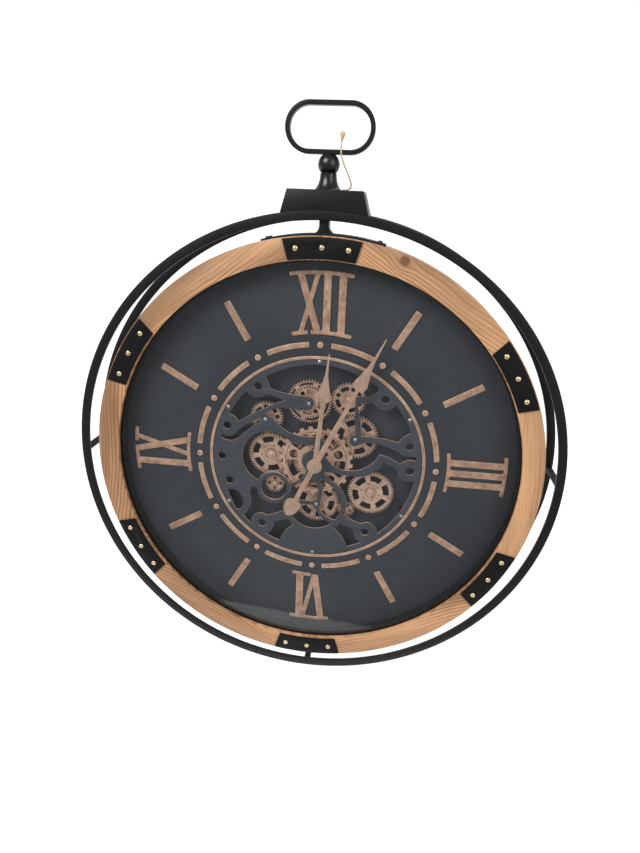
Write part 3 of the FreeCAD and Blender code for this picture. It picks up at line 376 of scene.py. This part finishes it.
def rubbed_metal(name, base, dark, roughness, streak=(240.0, 240.0, 240.0), metallic=0.9):
    """Antique plating: brushed streaks and darker patches."""
    metal = Finish(name, base, roughness, metallic)
    place = metal.place()
    patches = metal.noise(place, 75.0, 5.0, 0.65)
    brushed = metal.noise(metal.stretched(place, streak), 1.0, 3.0, 0.6)
    wear = metal.ramp(patches * 0.6 + brushed * 0.4, 0.36, 0.64)
    metal.set("Base Color", metal.blend(wear, dark, base))
    metal.set("Roughness", brushed * 0.24 + (roughness - 0.1))
    metal.bump(brushed, 0.15, 0.0003)
    return metal.material


def bronze_face():
    return rubbed_metal("bronze_face", colours().bronze, colours().bronze_dark, 0.4,
                        (700.0, 700.0, 160.0), 0.35)


# Lighter bronze for the marks' rounded edges and walls: partly rubbed wear, partly a painted highlight.
def bronze_rub_and_highlight():
    return rubbed_metal("bronze_rub_and_highlight", toned(colours().bronze, 1.3), colours().bronze, 0.32,
                        metallic=0.2)


def plate_edge():
    return rubbed_metal("plate_edge", toned(colours().bronze, 1.2), toned(colours().bronze, 0.75), 0.4,
                        metallic=0.1)


def rose_wheel():
    return rubbed_metal("rose_wheel", colours().rose, toned(colours().rose, 0.6), 0.34,
                        metallic=0.3)


def rose_edge():
    return rubbed_metal("rose_edge", toned(colours().rose, 1.35), toned(colours().rose, 1.05), 0.3,
                        metallic=0.2)


# Darker copy of the rose gold for the wheels' walls and rounded edges: painted shade in the tooth gaps.
def rose_shaded_flank():
    return rubbed_metal("rose_shaded_flank", toned(colours().rose, 0.38), toned(colours().rose, 0.18), 0.5)


def rose_hand():
    return rubbed_metal("rose_hand", toned(colours().rose, 0.95), toned(colours().rose, 0.68), 0.34,
                        (520.0, 520.0, 90.0), 0.5)


def brass():
    return rubbed_metal("rivet_brass", colours().brass, toned(colours().brass, 0.7), 0.26)


def steel():
    return rubbed_metal("bright_steel", (0.7, 0.7, 0.69), (0.45, 0.45, 0.45), 0.3)


PANE_SHINE = 0.35                        # share of a bare pane's reflection


def pane():
    """Clear glass: see-through, with reflections that grow towards grazing angles."""
    glass = Finish("clear_glass")
    fresnel = glass.node("ShaderNodeFresnel", {}, {"IOR": 1.5})
    clear = glass.node("ShaderNodeBsdfTransparent", {}, {"Color": (0.93, 0.95, 0.95, 1.0)})
    shine = glass.node("ShaderNodeBsdfGlossy", {}, {"Color": (1.0, 1.0, 1.0, 1.0), "Roughness": 0.015})
    mixed = glass.node("ShaderNodeMixShader", {}, {0: fresnel * PANE_SHINE, 1: clear, 2: shine})
    glass.feed(glass.tree.nodes["Material Output"].inputs["Surface"], mixed)
    glass.tree.nodes.remove(glass.shader)
    return glass.material


def moulded_plastic():
    plastic = Finish("movement_plastic", (0.014, 0.014, 0.015), 0.46)
    grain = plastic.noise(plastic.place(), 1500.0, 2.0)
    plastic.set("Roughness", grain * 0.2 + 0.36)
    plastic.bump(grain, 0.25, 0.0002)
    return plastic.material


CELL_BAND = 9.0 * MM


def cell_jacket():
    """Printed film: dark body with a copper band at one end."""
    jacket = Finish("cell_jacket", (0.02, 0.02, 0.022), 0.25, 0.3)
    x = jacket.axes(jacket.place())[0]
    band_at = middle("movement_cells").x + CELL_BAND
    band = jacket.ramp(x, band_at, band_at + MM)
    jacket.set("Base Color", jacket.blend(band, (0.02, 0.02, 0.022), (0.55, 0.3, 0.14)))
    return jacket.material


def jute():
    """Loose twisted fibres."""
    base = colours().jute
    twine = Finish("jute_twine", base, 0.9, 0.0, {"Specular IOR Level": 0.2})
    place = twine.place()
    fibres = twine.noise(twine.stretched(place, (900.0, 900.0, 300.0)), 1.0, 4.0)
    twine.set("Base Color", twine.blend(fibres, toned(base, 0.6), toned(base, 1.25)))
    twine.bump(fibres, 0.6, 0.0006)
    return twine.material


FINISHES = {}


def finish(maker, *details):
    """Makes each material once."""
    key = (maker, details)
    if key not in FINISHES:
        FINISHES[key] = maker(*details)
    return FINISHES[key]


# ---- mesh helpers ---------------------------------------------------------------------------------
SMOOTH_LIMIT = math.radians(34)


def soften(bm):
    """Smooth faces with crisp edges where the surface turns sharply."""
    for face in bm.faces:
        face.smooth = True
    for edge in bm.edges:
        edge.smooth = not (edge.is_manifold and edge.calc_face_angle() > SMOOTH_LIMIT)


def placed(bm, name, materials, body, nodes=()):
    """Turns a finished bmesh into a piece that rides on a body and stands for its frame nodes."""
    soften(bm)
    mesh = bpy.data.meshes.new(name)
    bm.to_mesh(mesh)
    bm.free()
    for material in materials:
        mesh.materials.append(material)
    piece = bpy.data.objects.new(name, mesh)
    bpy.context.scene.collection.objects.link(piece)
    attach(piece, body)
    if nodes:
        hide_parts(*nodes)
    return piece


def body_of_node(node):
    for body, nodes in frame["record"]["behaviour"]["bodies"].items():
        if node in nodes:
            return body
    raise RuntimeError("no body holds " + node)


def sharp_edges(bm, limit):
    return [e for e in bm.edges if e.is_manifold and e.calc_face_angle() > limit]


def edge_rounded(bm, width, segments, limit=math.radians(32)):
    """Rounds every sharp edge and gives the new faces."""
    made = bmesh.ops.bevel(bm, geom=sharp_edges(bm, limit), offset=width, offset_type="OFFSET",
                           affect="EDGES", segments=segments, profile=0.5, clamp_overlap=True, material=-1)
    return made["faces"]


def merged_copy(node):
    """The frame node's shape as one clean shell, with flat faces joined."""
    bm = bmesh.new()
    bm.from_mesh(frame["nodes"][node].data)
    bmesh.ops.remove_doubles(bm, verts=bm.verts, dist=1e-6)
    bmesh.ops.dissolve_limit(bm, angle_limit=math.radians(0.6), verts=bm.verts, edges=bm.edges,
                             use_dissolve_boundaries=False)
    bm.normal_update()
    return bm


def dressed(node, width, face, edge=None, segments=2, walls=False):
    """A copy of a frame node with rounded edges; edge is their finish, and the walls' if walls is set."""
    bm = merged_copy(node)
    rounded = edge_rounded(bm, width, segments) if width else []
    if edge is not None:
        for part in rounded:
            part.material_index = 1
        bm.normal_update()
        if walls:
            for part in bm.faces:
                if abs(part.normal.y) < 0.5:
                    part.material_index = 1
    materials = [face] if edge is None else [face, edge]
    return placed(bm, node + "_detail", materials, body_of_node(node), (node,))


def lathe(profile, centre, axis, across, steps):
    """A closed (radius, height) outline spun about an axis through centre."""
    bm = bmesh.new()
    corners = [bm.verts.new(centre + across * r + axis * h) for r, h in profile]
    edges = [bm.edges.new((a, b)) for a, b in zip(corners, corners[1:])]
    closed = profile[0][0] > 0 and profile[-1][0] > 0
    if closed:
        edges.append(bm.edges.new((corners[-1], corners[0])))
    bmesh.ops.spin(bm, geom=corners + edges, cent=centre, axis=axis, angle=2 * math.pi, steps=steps,
                   use_merge=True, use_duplicate=False)
    bmesh.ops.remove_doubles(bm, verts=bm.verts, dist=1e-7)
    bmesh.ops.recalc_face_normals(bm, faces=bm.faces)
    return bm


INTO_WALL = Vector((0, 1, 0))
SIDEWAYS = Vector((1, 0, 0))
UP = Vector((0, 0, 1))


def absorb(bm, other):
    """Adds another bmesh's geometry to bm."""
    spare = bpy.data.meshes.new("spare")
    other.to_mesh(spare)
    other.free()
    bm.from_mesh(spare)
    bpy.data.meshes.remove(spare)


# ---- outer frame ----------------------------------------------------------------------------------
HOOP_WIDTH = 12.0 * MM
HOOP_EDGE = 0.9 * MM
HOOP_STEPS = 256
STRUT_R = 5.0 * MM
STRUT_ANGLES = (90, 180, 270)
POST_HALF = 6.0 * MM
POST_WELD = 9.0 * MM                   # length of the beads down the post's corners


def make_hoop(node):
    low, high = span(node)
    inner = HOOP_R - HOOP_WIDTH
    depth = high.y - low.y
    profile = [(inner, 0), (HOOP_R, 0), (HOOP_R, depth), (inner, depth)]
    centre = Vector((DIAL.x, low.y, DIAL.z))
    bm = lathe(profile, centre, INTO_WALL, SIDEWAYS, HOOP_STEPS)
    edge_rounded(bm, HOOP_EDGE, 3)
    return placed(bm, node + "_bar", [finish(frame_coat)], "case_frame", (node,))


def make_struts():
    """Round bars between the hoops, each with a weld bead at both ends."""
    low, high = span("hoop_struts")
    bead = sizes().weld_bead
    reach = high.y - low.y
    profile = [(0, 0), (STRUT_R + bead, 0), (STRUT_R + bead * 0.7, bead * 0.8), (STRUT_R, bead * 1.6),
               (STRUT_R, reach - bead * 1.6), (STRUT_R + bead * 0.7, reach - bead * 0.8),
               (STRUT_R + bead, reach), (0, reach)]
    whole = bmesh.new()
    for angle in STRUT_ANGLES:
        centre = on_dial(HOOP_R - HOOP_WIDTH / 2, angle, low.y)
        absorb(whole, lathe(profile, centre, INTO_WALL, SIDEWAYS, 32))
    return placed(whole, "hoop_struts_bars", [finish(strap_coat)], "case_frame",
                  ("hoop_struts",))


def make_crown_welds():
    """Weld beads down the post's four corners, just under the crown block."""
    bead = sizes().weld_bead
    bm = bmesh.new()
    post_low, post_high = span("hanger_post")
    for y in (post_low.y, post_high.y):
        for side in (-1, 1):
            run = bmesh.ops.create_cone(bm, cap_ends=True, segments=8, radius1=bead, radius2=bead,
                                        depth=POST_WELD)
            at = Matrix.Translation((side * POST_HALF, y, post_high.z - POST_WELD / 2))
            bmesh.ops.transform(bm, matrix=at, verts=run["verts"])
    return placed(bm, "post_weld_beads", [finish(frame_coat)], "case_frame")


class CLOCK_OT_outer_frame(bpy.types.Operator):
    """Double hoop, struts, crown block, post and saddle."""

    bl_idname = "clock.outer_frame"
    bl_label = "Outer frame"

    def execute(self, context):
        make_hoop("front_hoop")
        make_hoop("rear_hoop")
        make_struts()
        make_crown_welds()
        edge = sizes().sheet_edge
        dressed("crown_block", edge * 1.6, finish(frame_coat), segments=3)
        dressed("hanger_post", edge, finish(frame_coat))
        dressed("case_saddle", edge * 0.7, finish(frame_coat))
        dressed("saddle_screws", edge * 0.5, finish(frame_coat))
        dressed("wall_hanger", edge * 0.7, finish(steel))
        return {"FINISHED"}


# ---- crown ----------------------------------------------------------------------------------------
# radii of the turned knob and heights above its foot
FINIAL_BORE = 4.0 * MM
FINIAL_RIM = [(16.9 * MM, 0.0), (17.0 * MM, 0.5 * MM), (16.9 * MM, 1.5 * MM), (16.5 * MM, 1.9 * MM)]
FLARE_R = 16.3 * MM
FLARE_AT = 2.0 * MM
WAIST_R = 10.7 * MM
WAIST_AT = 20.0 * MM
GROOVE = [(WAIST_R - 0.6 * MM, WAIST_AT + 0.4 * MM), (WAIST_R - 0.9 * MM, WAIST_AT + 0.9 * MM)]
BALL_FOOT = WAIST_AT + 1.4 * MM
BALL_R = 14.0 * MM
BALL_AT = 31.0 * MM


def make_finial():
    """Turned knob: flared foot with a flat rim, waist, narrow groove and ball."""
    low, high = span("crown_finial")
    tall = high.z - low.z
    profile = [(FINIAL_BORE, 0.0)] + FINIAL_RIM
    for step in range(1, 13):
        part = step / 12
        profile.append((WAIST_R + (FLARE_R - WAIST_R) * (1 - part) ** 2.4,
                        FLARE_AT + part * (WAIST_AT - FLARE_AT)))
    profile += GROOVE
    first = math.asin((BALL_FOOT - BALL_AT) / BALL_R)
    last = math.asin((tall - BALL_AT) / BALL_R)
    for step in range(15):
        turn = first + (last - first) * step / 14
        profile.append((BALL_R * math.cos(turn), BALL_AT + BALL_R * math.sin(turn)))
    profile.append((FINIAL_BORE, tall))
    centre = Vector((0, middle("crown_finial").y, low.z))
    bm = lathe(profile, centre, UP, SIDEWAYS, 72)
    return placed(bm, "finial_knob", [finish(finial_gloss)], "case_frame",
                  ("crown_finial",))


class CLOCK_OT_crown(bpy.types.Operator):
    """Finial, handle loop and the bolt that holds them."""

    bl_idname = "clock.crown"
    bl_label = "Crown and loop"

    def execute(self, context):
        make_finial()
        dressed("handle_loop", 0.0, finish(loop_coat))
        dressed("crown_bolt", sizes().sheet_edge * 0.5, finish(steel))
        return {"FINISHED"}


# ---- bezel ----------------------------------------------------------------------------------------
RIVET_CIRCLE = 305.5 * MM
RIVET_STEP = 6.4
RIVET_HEAD = 3.7 * MM
RIVET_RISE = 2.35 * MM


def make_rivets():
    """Domed brass heads, three to a joint plate."""
    plate_face = span("joint_plates")[0].y
    profile = [(0.0, -RIVET_RISE)]
    for step in range(1, 8):
        turn = math.radians(90 * step / 7)
        profile.append((RIVET_HEAD * math.sin(turn), -RIVET_RISE * math.cos(turn)))
    profile += [(RIVET_HEAD * 0.98, 0.2 * MM), (0.0, 0.2 * MM)]
    whole = bmesh.new()
    for plate in range(6):
        for step in (-1, 0, 1):
            centre = on_dial(RIVET_CIRCLE, 60 * plate + RIVET_STEP * step, plate_face)
            absorb(whole, lathe(profile, centre, INTO_WALL, SIDEWAYS, 28))
    return placed(whole, "rivet_heads", [finish(brass)], "case_frame",
                  ("joint_rivets",))


class CLOCK_OT_bezel(bpy.types.Operator):
    """Six wooden segments with black joint plates and brass rivets."""

    bl_idname = "clock.bezel"
    bl_label = "Wooden bezel"

    def execute(self, context):
        for index in range(6):
            dressed("wood_segment_%d" % (index + 1), sizes().wood_edge, finish(honey_wood, index))
        dressed("joint_plates", sizes().sheet_edge, finish(strap_coat))
        make_rivets()
        return {"FINISHED"}


# ---- case -----------------------------------------------------------------------------------------
class CLOCK_OT_case(bpy.types.Operator):
    """Glass, inner rim, steel band and back board."""

    bl_idname = "clock.case"
    bl_label = "Case"

    def execute(self, context):
        dressed("front_glass", 0.0, finish(pane))
        dressed("glass_rim", sizes().sheet_edge, finish(rim_coat))
        dressed("case_drum", sizes().sheet_edge * 0.5, finish(rim_coat))
        dressed("case_back", sizes().sheet_edge * 0.5, finish(back_board))
        dressed("back_screws", sizes().sheet_edge * 0.4, finish(steel))
        return {"FINISHED"}


# ---- dial -----------------------------------------------------------------------------------------
class CLOCK_OT_dial(bpy.types.Operator):
    """Slate dial with bronze numerals, bars, arcs, studs and chapter ring."""

    bl_idname = "clock.dial"
    bl_label = "Dial"

    def execute(self, context):
        dressed("dial_plate", sizes().sheet_edge * 0.5, finish(slate))
        for mark in ("numeral_xii", "numeral_iii", "numeral_vi", "numeral_ix", "hour_bars", "minute_arcs",
                     "chapter_ring", "minute_studs"):
            # The rounded edges and walls take the lighter bronze: rubbed wear with a painted highlight.
            dressed(mark, sizes().relief_edge, finish(bronze_face), finish(bronze_rub_and_highlight), walls=True)
        return {"FINISHED"}


# ---- skeleton plate -------------------------------------------------------------------------------
PLATE_EDGE = 0.85 * MM                 # rounding that shows as the bronze line round each cut


class CLOCK_OT_skeleton(bpy.types.Operator):
    """Pierced plate with bronze cut edges, its screws, pillars and the plate behind the wheels."""

    bl_idname = "clock.skeleton"
    bl_label = "Skeleton plate"

    def execute(self, context):
        # Both plates use a lighter copy of the dial slate: painted light that lifts them against the shade
        # inside the case and adds the glass's faint reflection.
        dressed("skeleton_plate", PLATE_EDGE, finish(slate, "plate_slate", 1.5), finish(plate_edge),
                walls=True)
        dressed("plate_screws", 0.0, finish(steel))
        dressed("plate_pillars", 0.0, finish(rim_coat))
        dressed("gear_studs", 0.0, finish(rose_wheel))
        dressed("base_plate", 0.0, finish(slate, "base_slate", 1.5))
        return {"FINISHED"}


# ---- wheels ---------------------------------------------------------------------------------------
WHEELS = ("centre_wheel", "centre_ring", "left_wheel", "left_pinion", "right_wheel", "right_pinion",
          "lower_wheel", "upper_wheel", "upper_left_wheel", "upper_right_wheel", "east_wheel")


class CLOCK_OT_wheels(bpy.types.Operator):
    """Rose gold wheels with painted shade on their flanks, and the hidden drive pinion."""

    bl_idname = "clock.wheels"
    bl_label = "Wheels"

    def execute(self, context):
        for wheel in WHEELS:
            # Walls and rounded edges take the darker rose: painted shade between the teeth.
            dressed(wheel, sizes().tooth_edge, finish(rose_wheel), finish(rose_shaded_flank), segments=1,
                    walls=True)
        dressed("drive_pinion", 0.0, finish(moulded_plastic))
        return {"FINISHED"}


# ---- hands ----------------------------------------------------------------------------------------
HAND_EDGE = 0.35 * MM


class CLOCK_OT_hands(bpy.types.Operator):
    """Hour and minute hand with the brass cap."""

    bl_idname = "clock.hands"
    bl_label = "Hands"

    def execute(self, context):
        for hand in ("hour_hand", "minute_hand"):
            dressed(hand, HAND_EDGE, finish(rose_hand), finish(rose_edge))
        dressed("hand_nut", 0.0, finish(brass))
        return {"FINISHED"}


# ---- movement -------------------------------------------------------------------------------------
class CLOCK_OT_movement(bpy.types.Operator):
    """Movement, drive unit, cells, nut and setting knob."""

    bl_idname = "clock.movement"
    bl_label = "Movement"

    def execute(self, context):
        for node in ("movement_housing", "drive_unit", "setting_knob"):
            dressed(node, sizes().sheet_edge * 0.8, finish(moulded_plastic))
        dressed("movement_cells", sizes().sheet_edge, finish(cell_jacket))
        dressed("dial_nut", sizes().sheet_edge * 0.5, finish(brass))
        return {"FINISHED"}


# ---- tag string -----------------------------------------------------------------------------------
STRING_ROUTE = (
    (17.5, -25.0, 13.7), (25.0, -27.5, 13.5), (30.6, -33.0, 18.5), (26.8, -37.0, 29.5),
    (21.8, -40.4, 39.5), (17.2, -43.6, 49.5), (14.8, -44.4, 60.5), (15.8, -44.2, 71.0),
)

# the tassel's radii and heights above the string's end in mm, its loose fibres and the turns round them
TASSEL = [(0.0, 0.1), (0.9, 0.1), (1.5, 1.8), (2.4, 4.2), (3.4, 7.0), (3.2, 8.8), (2.0, 10.6),
          (0.8, 11.4), (0.0, 11.5)]
FIBRES = 16
FIBRE_ENDS = (0.26 * MM, 0.34 * MM)
FIBRE_LENGTH = 6.4 * MM
FIBRE_AT = (2.2 * MM, 0, 4.3 * MM)
FIBRE_SPREAD = 0.31
WRAP_AT = (0.7, 1.5)                   # mm
WRAP_R = 0.32                          # mm


def make_string():
    """Jute twine on its own smooth line."""
    curve = bpy.data.curves.new("tag_string_line", "CURVE")
    curve.dimensions = "3D"
    curve.bevel_depth = sizes().strand / 2
    curve.bevel_resolution = 4
    curve.resolution_u = 16
    curve.use_fill_caps = True
    spline = curve.splines.new("NURBS")
    spline.points.add(len(STRING_ROUTE) - 1)
    for point, place in zip(spline.points, STRING_ROUTE):
        point.co = (place[0] * MM, place[1] * MM, place[2] * MM, 1.0)
    spline.order_u = 3
    spline.use_endpoint_u = True
    curve.materials.append(finish(jute))
    string = bpy.data.objects.new("tag_string_twine", curve)
    bpy.context.scene.collection.objects.link(string)
    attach(string, "case_frame")
    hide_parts("tag_string")
    return string


def make_knot():
    """Frayed tassel: a bundle of fibres that widens from the string to a rounded head."""
    start = Vector(STRING_ROUTE[-1]) * MM
    heading = (start - Vector(STRING_ROUTE[-2]) * MM).normalized()
    across = heading.orthogonal().normalized()
    core = [(r * MM, height * MM) for r, height in TASSEL]
    bm = lathe(core, start, heading, across, 20)
    turned = heading.to_track_quat("Z", "Y").to_matrix().to_4x4()
    for fibre in range(FIBRES):
        strand = bmesh.ops.create_cone(bm, cap_ends=True, segments=6, radius1=FIBRE_ENDS[0],
                                       radius2=FIBRE_ENDS[1], depth=FIBRE_LENGTH)
        around = Matrix.Rotation(fibre * 2 * math.pi / FIBRES, 4, "Z")
        at = (Matrix.Translation(start) @ turned @ around @ Matrix.Translation(FIBRE_AT)
              @ Matrix.Rotation(FIBRE_SPREAD, 4, "Y"))
        bmesh.ops.transform(bm, matrix=at, verts=strand["verts"])
    for lift in WRAP_AT:
        ring = []
        for step in range(8):
            turn = step * math.pi / 4
            ring.append(((1.25 + lift * 0.25 + WRAP_R * math.cos(turn)) * MM,
                         (lift + WRAP_R * math.sin(turn)) * MM))
        absorb(bm, lathe(ring, start, heading, across, 24))
    return placed(bm, "tag_knot_fibres", [finish(jute)], "case_frame", ("tag_knot",))


class CLOCK_OT_tag(bpy.types.Operator):
    """Short jute string that hung a tag from the loop."""

    bl_idname = "clock.tag"
    bl_label = "Tag string"

    def execute(self, context):
        string = make_string()
        knot = make_knot()
        return {"FINISHED"}


# ---- stage ----------------------------------------------------------------------------------------
# camera's place, its turns in degrees, and its lens and sensor in millimetres
CAMERA_AT = (0.0914, -0.8849, -0.0082)
CAMERA_TURN = (70.362, -2.212, 6.787)
LENS = 25.95
SENSOR = 36.0
CLIP_START = 0.01                      # metres
WORLD_GLOW = 0.42
PAPER_GLOW = 0.35
# softbox: place, aim, width, height and power in watts
SOFTBOXES = {
    "key_softbox": ((-1.3, -1.7, 1.5), (0, 0, -0.3), 1.4, 1.4, 68.0),
    "fill_softbox": ((1.6, -1.5, 0.6), (0, 0, -0.3), 1.2, 1.6, 19.0),
    "rim_softbox": ((0.3, 1.2, 1.6), (0, 0, -0.2), 1.6, 0.8, 20.0),
}


def softbox(name, place, aim, width, height, power):
    lamp = bpy.data.lights.new(name, "AREA")
    lamp.shape = "RECTANGLE"
    lamp.size = width
    lamp.size_y = height
    lamp.energy = power
    holder = bpy.data.objects.new(name, lamp)
    holder.location = place
    holder.rotation_euler = (Vector(aim) - Vector(place)).to_track_quat("-Z", "Y").to_euler()
    bpy.context.scene.collection.objects.link(holder)


FLOOR_FRONT = -0.34
FLOOR_BACK = 2.2
BACKDROP_R = 1.2
BACKDROP_TOP = 4.5
FLOOR_HALF = 6.0


def make_floor():
    """Pale floor that curves up into a backdrop, square to the camera."""
    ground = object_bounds()[0][2] - FLOOR_GAP
    bm = bmesh.new()
    profile = [(FLOOR_FRONT, 0.0), (FLOOR_BACK, 0.0)]
    for step in range(1, 13):
        turn = math.radians(90 * step / 12)
        profile.append((FLOOR_BACK + BACKDROP_R * math.sin(turn), BACKDROP_R * (1 - math.cos(turn))))
    profile.append((FLOOR_BACK + BACKDROP_R, BACKDROP_TOP))
    left = [bm.verts.new((-FLOOR_HALF, y, ground + z)) for y, z in profile]
    edges = [bm.edges.new(pair) for pair in zip(left, left[1:])]
    across = bmesh.ops.extrude_edge_only(bm, edges=edges)["geom"]
    swept = [part for part in across if isinstance(part, bmesh.types.BMVert)]
    bmesh.ops.translate(bm, vec=(2 * FLOOR_HALF, 0, 0), verts=swept)
    facing = Matrix.Rotation(math.radians(CAMERA_TURN[2]), 3, "Z")
    bmesh.ops.rotate(bm, cent=(0, FLOOR_FRONT, 0), matrix=facing, verts=bm.verts)
    bmesh.ops.recalc_face_normals(bm, faces=bm.faces)
    for face in bm.faces:
        face.smooth = True
    mesh = bpy.data.meshes.new("studio_floor")
    bm.to_mesh(mesh)
    bm.free()
    paper = Finish("studio_paper", (0.9, 0.9, 0.9), 0.9, 0.0,
                   {"Emission Color": (1.0, 1.0, 1.0), "Emission Strength": PAPER_GLOW})
    mesh.materials.append(paper.material)
    floor = bpy.data.objects.new("studio_floor", mesh)
    bpy.context.scene.collection.objects.link(floor)
    floor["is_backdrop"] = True


class CLOCK_OT_stage(bpy.types.Operator):
    """Pale floor, soft lights and the camera."""

    bl_idname = "clock.stage"
    bl_label = "Stage"

    def execute(self, context):
        make_floor()
        world = bpy.data.worlds.new("studio_world")
        world.use_nodes = True
        background = world.node_tree.nodes["Background"]
        background.inputs["Color"].default_value = (1.0, 1.0, 1.0, 1.0)
        background.inputs["Strength"].default_value = WORLD_GLOW
        context.scene.world = world
        context.scene.view_settings.view_transform = "Standard"
        for name, details in SOFTBOXES.items():
            softbox(name, *details)
        lens = bpy.data.cameras.new("studio_camera")
        lens.lens = LENS
        lens.sensor_fit = "VERTICAL"
        lens.sensor_width = SENSOR
        lens.sensor_height = SENSOR
        lens.clip_start = CLIP_START
        camera = bpy.data.objects.new("studio_camera", lens)
        camera.location = CAMERA_AT
        camera.rotation_euler = [math.radians(turn) for turn in CAMERA_TURN]
        context.scene.collection.objects.link(camera)
        context.scene.camera = camera
        return {"FINISHED"}


# ---- add-on ---------------------------------------------------------------------------------------
PIECES = (CLOCK_OT_outer_frame, CLOCK_OT_crown, CLOCK_OT_bezel, CLOCK_OT_case, CLOCK_OT_dial,
          CLOCK_OT_skeleton, CLOCK_OT_wheels, CLOCK_OT_hands, CLOCK_OT_movement, CLOCK_OT_tag,
          CLOCK_OT_stage)


class CLOCK_PT_panel(bpy.types.Panel):
    """Lists the pieces of the clock."""

    bl_idname = "CLOCK_PT_panel"
    bl_label = "Skeleton clock"
    bl_space_type = "VIEW_3D"
    bl_region_type = "UI"
    bl_category = "Clock"

    def draw(self, context):
        for group in (context.scene.clock_sizes, context.scene.clock_colours):
            column = self.layout.column(align=True)
            for name in group.__annotations__:
                column.prop(group, name)
        for piece in PIECES:
            self.layout.operator(piece.bl_idname)


CLASSES = (ClockSizes, ClockColours) + PIECES + (CLOCK_PT_panel,)


def register():
    for kind in CLASSES:
        bpy.utils.register_class(kind)
    bpy.types.Scene.clock_sizes = bpy.props.PointerProperty(type=ClockSizes)
    bpy.types.Scene.clock_colours = bpy.props.PointerProperty(type=ClockColours)


def unregister():
    del bpy.types.Scene.clock_colours
    del bpy.types.Scene.clock_sizes
    for kind in reversed(CLASSES):
        bpy.utils.unregister_class(kind)


def main():
    register()
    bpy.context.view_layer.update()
    for piece in PIECES:
        group, name = piece.bl_idname.split(".")
        getattr(getattr(bpy.ops, group), name)()


if __name__ == "__main__":
    main()
